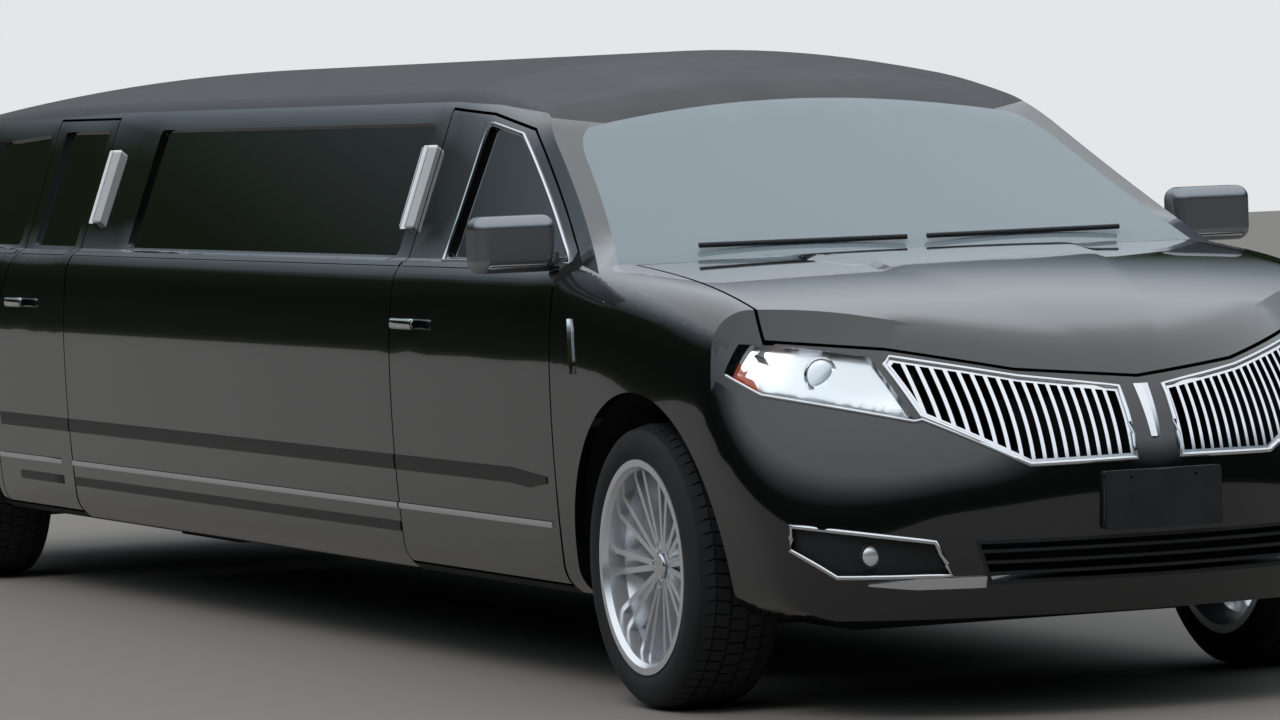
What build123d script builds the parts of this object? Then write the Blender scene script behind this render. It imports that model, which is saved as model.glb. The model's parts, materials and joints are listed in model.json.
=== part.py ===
from build123d import *
import os
from math import atan, atan2, cos, degrees, pi, radians, sin, sqrt, tan

# Stretch limousine: a long crossover saloon with a 120 inch section let in between the front and
# rear doors. Millimetres. X is across (the car's left is +X), Y runs rearwards, Z is up from the ground.
# Places along the car are given as a station: the distance behind the front axle.

# Driving dimensions
stock_wheelbase = 2995.0
stretch = 3048.0
wheelbase = stock_wheelbase + stretch
front_overhang = 1060.0
rear_overhang = 1238.0
half_width = 965.0
half_track = 830.0
panel_gap = 6.0
glass_thickness = 6.0
skin = 22.0
door_thickness = 105.0
frame_thickness = 46.0

tyre_radius = 366.0
tyre_width = 250.0
rim_radius = 264.0
arch_radius = 448.0
liner_radius = 474.0
wheel_sink = 6.0
axle_height = tyre_radius

kingpin_x = 745.0
steer_reach = 32.0

plate_proud = 14.0
overall_length = plate_proud + front_overhang + wheelbase + rear_overhang
front_axle_y = plate_proud + front_overhang - overall_length / 2
rear_axle = wheelbase
door_front_edge = 540.0
front_door_end = 1735.0
rear_door_start = 1672.0 + stretch
rear_door_end = 5560.0

ground_clearance = 262.0
belt_z = 1112.0
window_top_z = 1500.0
roof_split_z = 1532.0
chrome_strip_z = 445.0
groove_z = 568.0
groove_height = 36.0


def at(station):
    """The Y of a station, which is a distance behind the front axle."""
    return station + front_axle_y


def pt(x, station, z):
    return Vector(x, at(station), z)


def save(shape, name):
    solids = shape.solids() if hasattr(shape, "solids") else shape
    whole = Compound(children=list(solids)) if len(solids) != 1 else solids[0]
    export_step(whole, f"parts/{name}.step")
    print(name, len(solids), round(sum(s.volume for s in solids) / 1e6, 2), "litres")


def both_sides(shape):
    """The shape and its mirror image in the car's centre plane."""
    return Compound(children=[*shape.solids(), *shape.mirror(Plane.YZ).solids()])


def box_between(low, high):
    """A box from its low corner to its high corner, each given as (x, station, z)."""
    size = [b - a for a, b in zip(low, high)]
    return Pos(low[0], at(low[1]), low[2]) * Box(*size, align=(Align.MIN, Align.MIN, Align.MIN))


def rounded_outline(points, radius):
    """A closed 2-D outline through the points, with its corners rounded."""
    closed = [(x, y, 0) for x, y in points]
    outline = Polyline(*closed, close=True)
    face = make_face(outline.edges())
    if radius:
        face = fillet(face.vertices(), radius)
    return face


def side_prism(points, radius=0, inner=300.0, outer=1200.0):
    """A prism across the car, with its outline given as (station, z) points, on the +X side."""
    face = rounded_outline([(at(s), z) for s, z in points], radius)
    placed = Plane.YZ.offset(inner) * face
    return extrude(placed, outer - inner)


def front_prism(points, radius=0, start=-1300.0, end=0.0):
    """A prism along the car, with its outline given as (x, z) points, from one station to another."""
    face = rounded_outline(points, radius)
    plane = Plane(origin=(0, at(start), 0), x_dir=(1, 0, 0), z_dir=(0, -1, 0))
    return extrude(plane * face, -(end - start))


def plan_prism(points, radius=0, low=0.0, high=2000.0):
    """An upright prism, with its outline given as (x, station) points."""
    face = rounded_outline([(x, at(s)) for x, s in points], radius)
    return extrude(Plane.XY.offset(low) * face, high - low)


def across(a, b, heading):
    """The arc that leaves a with that heading and ends at b, with its heading there."""
    edge = Edge.make_tangent_arc(a, Vector(*heading), b)
    return edge, edge % 1


def mirrored(edges):
    return [e.mirror(Plane.YZ) for e in edges]


# The lower body's sections. Columns: station, floor half width, floor z, rocker half width,
# rocker z, widest half width, its z, shoulder half width, its z, shoulder height, crown angle.
door_section = (880.0, ground_clearance, 940.0, 345.0, half_width, 830.0, 948.0, 1062.0, 85.0, 1.5)
front_sections = [
    (-1120.0, 600.0, 262.0, 690.0, 330.0, 740.0, 580.0, 705.0, 690.0, 84.0, 6.0),
    (-560.0, 800.0, 262.0, 870.0, 340.0, 912.0, 720.0, 894.0, 905.0, 90.0, 5.0),
    (-150.0, 860.0, 262.0, 925.0, 345.0, 955.0, 780.0, 936.0, 990.0, 90.0, 4.0),
    (250.0, 876.0, 262.0, 937.0, 345.0, 963.0, 820.0, 945.0, 1034.0, 88.0, 2.5),
    (door_front_edge, *door_section),
]
rear_sections = [
    (rear_door_start, *door_section),
    (rear_axle - 500.0, *door_section),
    (rear_axle, 876.0, 270.0, 938.0, 350.0, 964.0, 830.0, 942.0, 1076.0, 85.0, 2.0),
    (rear_axle + 650.0, 850.0, 290.0, 918.0, 370.0, 946.0, 830.0, 915.0, 1090.0, 82.0, 3.0),
    (rear_axle + 1300.0, 800.0, 310.0, 860.0, 400.0, 885.0, 820.0, 850.0, 1085.0, 80.0, 4.0),
]


def body_section(row, inset=0.0, floor_inset=0.0, top_inset=0.0):
    """One closed cross-section of the lower body, drawn inwards by the insets."""
    s, floor_w, floor_z, rocker_w, rocker_z, wide_w, wide_z, sh_w, sh_z, sh_h, crown = row
    floor_z, sh_z = floor_z + floor_inset, sh_z - top_inset
    rocker_z = rocker_z + floor_inset / 2
    widest = pt(wide_w - inset, s, wide_z)
    rocker = pt(rocker_w - inset, s, rocker_z)
    foot = pt(floor_w - inset, s, floor_z)
    shoulder = pt(sh_w - inset, s, sh_z)
    side_low, down = across(widest, rocker, (0, 0, -1))
    corner, _ = across(rocker, foot, down)
    side_high, up = across(widest, shoulder, (0, 0, 1))
    lean = degrees(atan2(abs(up.X), up.Z))
    turn = radians((90 - crown + lean) / 2)
    rim = shoulder + Vector(-sh_h * tan(turn), 0, sh_h)
    top, _ = across(shoulder, rim, up)
    right = [corner, side_low, side_high, top]
    peak = Vector(0, rim.Y, rim.Z + rim.X * tan(radians(crown) / 2))
    crown_arc = Edge.make_three_point_arc(rim, peak, Vector(-rim.X, rim.Y, rim.Z))
    base = Edge.make_line(Vector(-foot.X, foot.Y, foot.Z), foot)
    return Wire([base, *right, crown_arc, *mirrored(right)])


def body_loft(rows, **insets):
    return Solid.make_loft([body_section(row, **insets) for row in rows])


def door_length(start, end, **insets):
    """The lower body between two stations where its section doesn't change."""
    return Solid.extrude(
        Face(body_section((start, *door_section), **insets)), Vector(0, end - start, 0)
    )


# The cabin's sections above the belt. Columns: station, belt half width, glass top half width,
# glass top z, rail half width, roof crown angle at the rail.
cabin_middle = (903.0, 750.0, 1530.0, 652.0, 13.0)
cabin_front = [
    (200.0, 900.0, 765.0, 1330.0, 672.0, 5.0),
    (700.0, 901.0, 760.0, 1400.0, 665.0, 6.0),
    (1150.0, 902.0, 750.0, 1478.0, 655.0, 8.0),
    (1450.0, 903.0, 750.0, 1516.0, 652.0, 11.0),
    (front_door_end, *cabin_middle),
]
cabin_rear = [
    (rear_door_start, *cabin_middle),
    (rear_axle - 800.0, 903.0, 750.0, 1527.0, 651.0, 13.0),
    (rear_axle - 100.0, 901.0, 747.0, 1511.0, 646.0, 12.5),
    (rear_axle + 600.0, 886.0, 732.0, 1478.0, 632.0, 11.5),
    (rear_axle + 1300.0, 845.0, 695.0, 1430.0, 600.0, 10.0),
]
cabin_base_z = 1040.0


def cabin_section(row, inset=0.0):
    """One closed cross-section of the cabin, from below the belt to the roof."""
    s, belt_w, glass_w, glass_z, rail_w, crown = row
    slope = (belt_w - glass_w) / (glass_z - belt_z)
    turn = radians((90 - crown) / 2) + atan(slope) / 2
    base = pt(belt_w - inset + slope * (belt_z - cabin_base_z), s, cabin_base_z)
    glass = pt(glass_w - inset, s, glass_z - inset * 0.6)
    rail = glass + Vector(rail_w - glass_w + inset * 0.2, 0, 0)
    rail.Z = glass.Z + (glass.X - rail.X) / tan(turn)
    side = Edge.make_line(base, glass)
    bend, heading = across(glass, rail, side % 1)
    level = atan2(heading.Z, -heading.X)
    peak = Vector(0, rail.Y, rail.Z + rail.X * tan(level / 2))
    roof = Edge.make_three_point_arc(rail, peak, Vector(-rail.X, rail.Y, rail.Z))
    floor = Edge.make_line(Vector(-base.X, base.Y, base.Z), base)
    return Wire([floor, side, bend, roof, *mirrored([side, bend])])


def cabin_loft(rows, inset=0.0):
    return Solid.make_loft([cabin_section(row, inset) for row in rows])


def cabin_length(start, end, inset=0.0):
    return Solid.extrude(
        Face(cabin_section((start, *cabin_middle), inset)), Vector(0, end - start, 0)
    )


# The nose, as level outlines. Columns: z, front station at the centre, corner half width,
# corner station, side half width where the nose meets the wheel arch.
nose_levels = [
    (255.0, 73.0 - front_overhang, 590.0, -860.0, 900.0),
    (400.0, 16.0 - front_overhang, 610.0, -905.0, 930.0),
    (560.0, -front_overhang, 620.0, -905.0, 950.0),
    (700.0, 26.0 - front_overhang, 615.0, -855.0, 955.0),
    (830.0, 110.0 - front_overhang, 605.0, -750.0, 955.0),
    (950.0, 228.0 - front_overhang, 590.0, -630.0, 950.0),
    (1160.0, 470.0 - front_overhang, 575.0, -450.0, 945.0),
]
nose_back = -300.0
nose_side_end = -400.0


def nose_outline(row, inset=0.0):
    """One level outline of the nose, drawn inwards by the inset."""
    z, front, corner_x, corner_s, side_x = row
    tip = pt(0, front + inset, z)
    corner = pt(corner_x - inset * 0.5, corner_s + inset * 0.9, z)
    side = pt(side_x - inset, nose_side_end, z)
    face_arc, heading = across(tip, corner, (1, 0, 0))
    corner_arc, _ = across(corner, side, heading)
    flank = Edge.make_line(side, pt(side_x - inset, nose_back, z))
    back = Edge.make_line(pt(side_x - inset, nose_back, z), pt(inset - side_x, nose_back, z))
    right = [face_arc, corner_arc, flank]
    return Wire([*right, back, *mirrored(right)])


def nose_loft(inset=0.0):
    return Solid.make_loft([nose_outline(row, inset) for row in nose_levels])


# The tail, as level outlines. Columns: z, rear station at the centre, corner half width,
# corner station, side half width where the tail meets the rear quarter.
tail_end = rear_axle + rear_overhang
tail_levels = [
    (240.0, tail_end - 90.0, 640.0, tail_end - 160.0, 900.0),
    (430.0, tail_end - 11.0, 650.0, tail_end - 91.0, 935.0),
    (600.0, tail_end, 655.0, tail_end - 81.0, 950.0),
    (760.0, tail_end - 19.0, 655.0, tail_end - 101.0, 955.0),
    (1000.0, tail_end - 66.0, 640.0, tail_end - 156.0, 950.0),
    (1180.0, tail_end - 122.0, 620.0, tail_end - 222.0, 940.0),
    (1400.0, tail_end - 196.0, 600.0, tail_end - 300.0, 935.0),
    (1780.0, tail_end - 326.0, 580.0, tail_end - 440.0, 930.0),
]
tail_front = rear_axle + 457.0
tail_side_end = rear_axle + 657.0


def tail_outline(row, inset, side_inset):
    z, rear, corner_x, corner_s, side_x = row
    tip = pt(0, rear - inset, z)
    corner = pt(corner_x - inset * 0.5, corner_s - inset * 0.9, z)
    side = pt(side_x - side_inset, tail_side_end, z)
    face_arc, heading = across(tip, corner, (1, 0, 0))
    corner_arc, _ = across(corner, side, heading)
    flank_end = pt(side_x - side_inset, tail_front, z)
    flank = Edge.make_line(side, flank_end)
    front = Edge.make_line(flank_end, Vector(-flank_end.X, flank_end.Y, flank_end.Z))
    right = [face_arc, corner_arc, flank]
    return Wire([*right, front, *mirrored(right)])


def tail_loft(inset=0.0, side_inset=None):
    """The tail's outer form, moved forwards by the inset and in from the sides by the other."""
    side_inset = inset if side_inset is None else side_inset
    return Solid.make_loft([tail_outline(row, inset, side_inset) for row in tail_levels])


# The windscreen's outer face: a level arc that slopes rearwards as it rises.
screen_base = (232.0, 1135.0)
screen_header = (1100.0, 1570.0)
screen_plan_radius = 2900.0
screen_thickness = 6.0

# The tailgate
gate_thickness = 60.0
gate_sill_z = 640.0
gate_half_width = 700.0


def sloped_block(base, header, radius, back, setback):
    """Everything behind a curved, sloping face (back=1) or ahead of it (back=-1)."""
    (s0, z0), (s1, z1) = base, header
    per_rise = (s1 - s0) / (z1 - z0)
    low, high = 900.0, 1900.0
    start = s0 + (low - z0) * per_rise + setback
    half = 1300.0
    sag = radius - sqrt(radius**2 - half**2)
    far = start + back * 8000.0
    arc = Edge.make_three_point_arc(
        pt(-half, start + back * sag, low), pt(0, start, low), pt(half, start + back * sag, low)
    )
    sides = Polyline(
        pt(half, start + back * sag, low), pt(half, far, low), pt(-half, far, low),
        pt(-half, start + back * sag, low),
    )
    face = Face(Wire([arc, *sides.edges()]))
    return Solid.extrude(face, Vector(0, (high - low) * per_rise, high - low))


def behind_screen(setback=0.0):
    return sloped_block(screen_base, screen_header, screen_plan_radius, 1, setback)


def slab(start, end, low=-10.0, high=2500.0, half=1500.0):
    return box_between((-half, start, low), (half, end, high))


def one(shape):
    """The largest solid of a result, for cuts that may leave slivers."""
    return max(shape.solids(), key=lambda s: s.volume)


def lower_body(side=0.0, floor=0.0, top=0.0, nose=True, tail=True):
    """The body below the glass, drawn inwards by the insets, with rounded ends where asked."""
    insets = {"inset": side, "floor_inset": floor, "top_inset": top}
    front = body_loft(front_sections, **insets)
    if nose:
        tip = one((front & slab(-1300.0, nose_back)) & nose_loft(side))
        front = tip + (front & slab(nose_back, door_front_edge))
    middle = door_length(door_front_edge, rear_door_start, **insets)
    rear = body_loft(rear_sections, **insets)
    if tail:
        tip = one((rear & slab(tail_front, 9000.0)) & tail_loft(side))
        rear = tip + (rear & slab(rear_door_start, tail_front))
    return one(front + middle + rear)


def cabin(inset=0.0):
    """The glasshouse above the belt, drawn inwards by the inset, with its ends left long."""
    front = cabin_loft(cabin_front, inset)
    middle = cabin_length(front_door_end, rear_door_start, inset)
    rear = cabin_loft(cabin_rear, inset)
    return one(front + middle + rear)


def wheel_space(station, radius, inner, outer=1300.0):
    """A cylinder across the car around a wheel, on the +X side."""
    disc = Plane.YZ.offset(inner) * Pos(at(station), axle_height) * Circle(radius)
    return extrude(disc, outer - inner)


# Panel outlines in side view, as (station, z).
door_bottom_z = 290.0
screen_slope = (screen_header[0] - screen_base[0]) / (screen_header[1] - screen_base[1])
pillar_foot = (468.0, 1135.0)
pillar_head_z = 1482.0
pillar_head = (pillar_foot[0] + (pillar_head_z - pillar_foot[1]) * 1.88, pillar_head_z)
door_top_z = 1545.0
window_sill_z = 1142.0
window_head_z = 1510.0
glass_inset = 12.0
door_wall = 99.0
door_rim = 40.0
body_wall = 105.0
body_rim = 46.0
hinge_x = 922.0
hinge_lead = 80.0
hinge_heights = (640.0, 900.0)
hinge_pin = 4.5
hinge_boss = 9.0
hinge_sweep = 91.5  # keeps a door's front face clear of the panel ahead as it turns
hinge_clearance = 0.4
seat_clearance = 0.8
gap = 8.0

front_door_points = [
    (door_front_edge + gap / 2, door_bottom_z),
    (door_front_edge + gap / 2, 1080.0),
    (pillar_foot[0], pillar_foot[1] - 10.0),
    pillar_head,
    (1420.0, door_top_z - 18.0),
    (front_door_end - gap / 2, door_top_z),
    (front_door_end - gap / 2, door_bottom_z),
]
front_window_points = [
    (pillar_foot[0] + 92.0, window_sill_z),
    (pillar_head[0] + 70.0, pillar_head_z - 16.0),
    (1400.0, window_head_z - 13.0),
    (1430.0, window_head_z - 12.0),
    (1445.0, window_sill_z),
]
rear_arch_front = rear_axle - 505.0
rear_door_points = [
    (rear_door_start + gap / 2, door_bottom_z),
    (rear_door_start + gap / 2, door_top_z),
    (rear_axle - 700.0, door_top_z),
    (rear_axle - 733.0, 1130.0),
    (rear_axle - 505.0, 780.0),
    (rear_axle - 530.0, door_bottom_z),
]
rear_window_points = [
    (rear_door_start + 68.0, window_sill_z),
    (rear_door_start + 68.0, window_head_z),
    (rear_axle - 792.0, window_head_z),
    (rear_axle - 815.0, window_sill_z),
]
long_window = (1830.0, 1210.0 + stretch)
quarter_window_points = [
    (rear_axle - 660.0, window_sill_z),
    (rear_axle - 640.0, window_head_z - 6.0),
    (rear_axle - 60.0, window_head_z - 30.0),
    (rear_axle + 330.0, 1220.0),
    (rear_axle + 250.0, window_sill_z),
]


def prism(points, by=0.0, radius=0.0, inner=300.0, outer=1200.0):
    """A side prism from an outline, grown by that much and with its corners rounded."""
    face = make_face(Polyline(*[(at(s), z) for s, z in points], close=True).edges())
    if by:
        face = offset(face, by, kind=Kind.INTERSECTION)
    if radius:
        face = fillet(face.vertices(), radius)
    return extrude(Plane.YZ.offset(inner) * face, outer - inner)


def rod(start, end, radius):
    """A round bar from one place to another."""
    a, b = Vector(*start), Vector(*end)
    plane = Plane(origin=a, z_dir=b - a)
    return extrude(plane * Circle(radius), (b - a).length)


# Wall thicknesses, and the body's shells, which are cut into panels further down.
skin_wall = 25.0
grille_depth = 36.0
lining_wall = 16.0
lining_gap = 0.8
gate_gap = 8.0
floor_half = 845.0
floor_top = 307.0

outer = lower_body()
skin_inner = lower_body(skin_wall, 20.0, skin_wall, tail=False)
wall_inner = lower_body(body_wall, floor_top - ground_clearance, 60.0, nose=False)
door_inner = lower_body(door_wall, 24.0, 54.0, nose=False, tail=False)
glasshouse = cabin()
rim_inner = cabin(body_rim)
tail_limit = tail_loft() + slab(0.0, tail_front)
wide = -30.0
fixed_part = tail_loft(gate_thickness + gate_gap, wide) + slab(0.0, tail_front)
screened = one(glasshouse & behind_screen() & tail_limit)
whole = one(outer + screened)
walls = whole - wall_inner - rim_inner
front_skin = (outer & slab(-1200.0, 600.0)) - skin_inner
nose_block = one(outer & slab(-1200.0, -380.0))
nose_shell = one(nose_block - nose_loft(grille_depth))
tail_block = one(outer & slab(tail_front, rear_axle + 1500.0))
tail_walls = walls & slab(rear_axle - 740.0, rear_axle + 1500.0)
door_walls = (whole & slab(400.0, rear_axle - 400.0)) - door_inner - cabin(door_rim)
upper = (screened - rim_inner - outer) & fixed_part
glass_shell = cabin(glass_inset) - cabin(glass_inset + glass_thickness)
door_inner_face = cabin(8.0)

# Hood, headlamp, grille and bumper outlines. Front view outlines are (x, z) points.
hood_edge_s = 195.0
hood_half = 797.0
hood_front_points = [
    (-900.0, 962.0), (-560.0, 925.0), (-300.0, 868.0), (0.0, 840.0),
    (300.0, 868.0), (560.0, 925.0), (900.0, 962.0), (900.0, 1400.0), (-900.0, 1400.0),
]
headlamp_points = [
    (566.0, 752.0), (600.0, 905.0), (760.0, 934.0), (935.0, 950.0), (935.0, 905.0), (840.0, 822.0),
]
headlamp_depth = 120.0
grille_points = [
    (62.0, 640.0), (62.0, 812.0), (300.0, 846.0), (560.0, 902.0), (578.0, 885.0), (548.0, 760.0),
    (330.0, 636.0),
]
grille_frame = 12.0
grille_bars = 18
grille_bar_width = 9.0
intake_points = [(-430.0, 345.0), (-470.0, 455.0), (470.0, 455.0), (430.0, 345.0)]
intake_bars = 3
fog_points = [(520.0, 372.0), (560.0, 455.0), (845.0, 500.0), (845.0, 440.0), (760.0, 372.0)]
fascia_points = [
    (-1400.0, 200.0), (-200.0, 200.0), (-200.0, 590.0), (-400.0, 640.0), (-505.0, 800.0),
    (-505.0, 1300.0), (-1400.0, 1300.0),
]
rear_bumper_top = 624.0
rear_bumper_points = [
    (rear_axle + 200.0, 200.0), (rear_axle + 200.0, 560.0), (rear_axle + 405.0, rear_bumper_top),
    (rear_axle + 1400.0, rear_bumper_top), (rear_axle + 1400.0, 200.0),
]
tail_lamp_points = [(708.0, 860.0), (708.0, 1010.0), (960.0, 1010.0), (960.0, 880.0)]
roof_split_points = [
    (850.0, 1450.0), (1130.0, 1530.0), (1420.0, 1556.0), (front_door_end, 1568.0),
    (rear_door_start, 1568.0), (rear_axle - 100.0, 1550.0), (rear_axle + 600.0, 1516.0),
    (rear_axle + 1300.0, 1466.0), (rear_axle + 1300.0, 1900.0), (850.0, 1900.0),
]
long_window_points = [
    (long_window[0], window_sill_z), (long_window[0], window_head_z),
    (long_window[1], window_head_z), (long_window[1], window_sill_z),
]


def outline_face(points, by=0.0, radius=0.0):
    face = make_face(Polyline(*points, close=True).edges())
    if by:
        face = offset(face, by, kind=Kind.INTERSECTION)
    if radius:
        face = fillet(face.vertices(), radius)
    return face


def along(face, start, end):
    """A front view face, drawn out along the car from one station to another."""
    plane = Plane(origin=(0, at(start), 0), x_dir=(1, 0, 0), z_dir=(0, -1, 0))
    return extrude(plane * face, -(end - start))


def front_view(points, start, end, by=0.0, radius=0.0):
    return along(outline_face(points, by, radius), start, end)


def behind_hood(setback=0.0):
    place = (hood_edge_s, 1135.0)
    return sloped_block(place, (hood_edge_s, 1570.0), screen_plan_radius, 1, setback)


roof_zone = prism(roof_split_points, inner=-1200.0)
fascia_zone = prism(fascia_points, inner=-1200.0)
headlamp_zone = front_view(headlamp_points, -1300.0, -455.0)
grille_zone = front_view(grille_points, -1300.0, -500.0)
fog_zone = front_view(fog_points, -1300.0, -500.0)
front_door_zone = prism(front_door_points, radius=8.0)
front_door_space = prism(front_door_points, gap, radius=8.0)
rear_door_zone = prism(rear_door_points) - wheel_space(rear_axle, 505.0, 300.0)
rear_door_space = prism(rear_door_points, gap) - wheel_space(rear_axle, 505.0 - gap, 300.0)
floor_front = 478.0
floor_block = slab(floor_front, 5480.0, low=200.0, high=floor_top + 8, half=floor_half)
sill_end = 5590.0
gate_low = box_between(
    (-gate_half_width, rear_axle + 900.0, gate_sill_z), (gate_half_width, rear_axle + 1500.0, 1150.0)
)
gate_low_space = box_between(
    (-gate_half_width - gate_gap, rear_axle + 900.0, gate_sill_z - gate_gap),
    (gate_half_width + gate_gap, rear_axle + 1500.0, 1165.0),
)


def make_hood():
    hood = front_skin & front_view(hood_front_points, -1300.0, 400.0)
    hood = hood & slab(-1300.0, 400.0, low=700.0, half=hood_half) - behind_hood()
    return one(hood)


def make_fender():
    side = front_view([
        (floor_half, 200.0), (1200.0, 200.0), (1200.0, 1400.0), (hood_half + gap, 1400.0),
        (hood_half + gap, 880.0), (floor_half, 880.0),
    ], -900.0, door_front_edge - gap / 2)
    cutters = [
        fascia_zone, headlamp_zone, wheel_space(0.0, arch_radius, 300.0), front_door_space,
        box_between((0, pillar_foot[0] - gap, 1060), (884, 600, 1400)),
    ]
    return one((front_skin & side) - cutters)


def make_front_bumper():
    half = (front_skin & slab(-1200.0, -200.0, low=200.0)) & box_between((0, -1200, 200), (1200, 0, 1300))
    cutters = [
        wheel_space(0.0, arch_radius, 300.0), front_view(hood_front_points, -1300.0, 400.0, by=gap),
        headlamp_zone, grille_zone, fog_zone, front_view(intake_points, -1300.0, -500.0),
        box_between((0, -500, 900), (1200, 0, 1300)), box_between((0, -640, 200), (620, 0, 400)),
        rod((plate_hole_spacing / 2, at(-1100.0), plate_hole_z),
            (plate_hole_spacing / 2, at(-950.0), plate_hole_z), plate_hole_r),
    ]
    half = one((half & fascia_zone) - cutters)
    return one(half + half.mirror(Plane.YZ))


def make_headlamp():
    lamp = (nose_block & headlamp_zone) - nose_loft(headlamp_depth)
    return one(lamp - wheel_space(0.0, liner_radius + 10.0, 300.0))


def make_grille():
    """One wing: a slim frame around upright bars."""
    ring = outline_face(grille_points) - outline_face(grille_points, -grille_frame)
    low_x = grille_points[0][0] + grille_frame
    high_x = grille_points[4][0] - grille_frame
    pitch = (high_x - low_x) / grille_bars
    for i in range(1, grille_bars):
        bar = Pos(low_x + i * pitch, 770.0) * Rectangle(grille_bar_width, 300.0)
        ring = ring + (bar & outline_face(grille_points))
    block = one(nose_shell & grille_zone)
    return one(block & along(ring, -1300.0, -500.0))


def make_intake():
    """The lower opening: a frame with level bars."""
    ring = outline_face(intake_points) - outline_face(intake_points, -9.0)
    low_z, high_z = intake_points[0][1], intake_points[1][1]
    pitch = (high_z - low_z) / (intake_bars + 1)
    for i in range(1, intake_bars + 1):
        bar = Pos(0.0, low_z + i * pitch) * Rectangle(1000.0, 8.0)
        ring = ring + (bar & outline_face(intake_points))
    block = one(nose_shell & front_view(intake_points, -1300.0, -500.0))
    return one(block & along(ring, -1300.0, -500.0))


def make_fog():
    return one(nose_shell & fog_zone)


def make_cowl():
    cowl = front_skin & slab(0.0, 500.0, low=1000.0, half=hood_half + gap) & behind_hood(gap)
    return one(cowl)


def make_windscreen():
    block = one(behind_screen() - behind_screen(screen_thickness * 2.2))
    return one((rim_inner & block) - outer)


def make_roof():
    return one(upper & roof_zone)


def make_rails():
    """The roof rail and the windscreen pillar over the doors."""
    start, end = front_door_end + gap / 2, rear_door_start - gap / 2
    rails = upper & box_between((300, 0, 1000), (1200, rear_axle - 693.0, 1900))
    cutters = [roof_zone, front_door_space, rear_door_space, box_between((0, start, 0), (1300, end, 1900)),
               box_between((0, rear_axle - 740.0, 0), (1300, rear_axle, 1150.0))]
    return rails - cutters


def hinge_pockets(front_edge):
    """The spaces in the post ahead of a door, where its hinge arms turn."""
    s, reach = front_edge - hinge_lead, arm_height / 2 + 2.0
    return [box_between((820, s - 18, z - reach), (hinge_x + 16, front_edge, z + reach)) for z in hinge_heights]


def hinge_pins(front_edge):
    y = at(front_edge - hinge_lead)
    return [Pos(hinge_x, y, z) * Cylinder(hinge_pin, arm_height + 14.0) for z in hinge_heights]


def make_stretch_panel():
    start, end = front_door_end + gap / 2, rear_door_start - gap / 2
    panel = walls & box_between((200, start, 200), (1200, end, 1900))
    cutters = [roof_zone, floor_block, prism(long_window_points, radius=20.0), *hinge_pockets(rear_door_start)]
    return one(one(panel - cutters) + hinge_pins(rear_door_start))


def make_tail_corner():
    """The rear wall beside the tailgate and over the tail lamp."""
    zone = box_between((gate_half_width, tail_front, 990.0), (1200, rear_axle + 1500.0, 1150.0))
    return (tail_block & zone) - tail_loft(gate_thickness, wide)


def make_quarter_panel():
    panel = tail_walls & box_between((300, rear_axle - 733.0, 200), (1200, rear_axle + 1500.0, 1900))
    panel = panel + make_tail_corner()
    cutters = [
        box_between((200, rear_axle - 740.0, 1150.0), (1200, rear_axle - 693.0, 1900)),
        box_between((200, rear_axle - 740.0, 200), (1200, sill_end + 10.0, door_bottom_z - gap)),
        roof_zone, floor_block, rear_door_space, prism(quarter_window_points, radius=25.0),
        prism(rear_bumper_points), front_view(tail_lamp_points, 6700.0, 7500.0), gate_low_space,
        wheel_space(rear_axle, arch_radius, 300.0),
        wheel_space(rear_axle, liner_radius + 4.5, 300.0, half_width - skin_wall),
        box_between((0, 6500, 1150), (1300, 9000, 1900)) - fixed_part,
    ]
    return one(panel - cutters)


def make_rear_bumper():
    zone = prism(rear_bumper_points, inner=-1200.0)
    arch = wheel_space(rear_axle, arch_radius, 300.0)
    lined = wheel_space(rear_axle, liner_radius + 4.5, 300.0, half_width - skin_wall)
    cutters = [tail_loft(skin_wall * 1.6), floor_block]
    for cutter in (arch, lined):
        cutters += [cutter, cutter.mirror(Plane.YZ)]
    latch = box_between((-30, tail_end - 58, 596), (30, tail_end - 20, gate_sill_z - seat_clearance))
    return one(one((tail_walls & zone) - cutters) + latch)


def make_tail_lamp():
    lamp = (tail_block & front_view(tail_lamp_points, 6700.0, 7500.0)) - tail_loft(60.0)
    return one(lamp - gate_low_space)


def make_gate():
    low = (tail_block & gate_low) - tail_loft(gate_thickness, wide)
    low = one(low)
    high = (screened & slab(6500, 9000, low=1150.0)) - tail_loft(gate_thickness, wide)
    shelf = slab(6400, 9000, low=1100.0, high=1150.0 + gate_gap + 6.0)
    high = high - (shelf - slab(6300, 9100, low=1000.0, high=1300.0, half=gate_half_width))
    high = one(high & slab(tail_front, 9000))
    window = [(-640.0, 1185.0), (-560.0, 1470.0), (560.0, 1470.0), (640.0, 1185.0)]
    gate = one(low + high)
    return one(gate - front_view(window, 6500.0, 8000.0, radius=30.0))


def make_gate_glass():
    window = [(-640.0, 1185.0), (-560.0, 1470.0), (560.0, 1470.0), (640.0, 1185.0)]
    block = one(tail_loft(8.0) - tail_loft(16.0))
    return one(block & front_view(window, 6700.0, 8000.0, radius=30.0))


def make_floor_pan():
    """The floor with its frame rails and sills, the boot floor and the bulkhead ahead of the feet."""
    pan = slab(floor_front, 5480.0, low=ground_clearance, high=floor_top, half=floor_half)
    pieces = [make_boot_floor(), make_firewall()]
    sill_cut = door_bottom_z - gap
    for start, end in ((floor_front + 66.0, front_door_end + gap / 2), (rear_door_start - gap / 2, sill_end)):
        sill = door_length(start, end) & box_between((floor_half, start, 200), (1200, end, sill_cut))
        pieces += [sill, sill.mirror(Plane.YZ)]
    for x in (-420.0, 420.0):
        pieces.append(box_between((x - 45, floor_front, 190), (x + 45, rear_axle - 560.0, ground_clearance + 4)))
    return one(pan + pieces)


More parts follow.
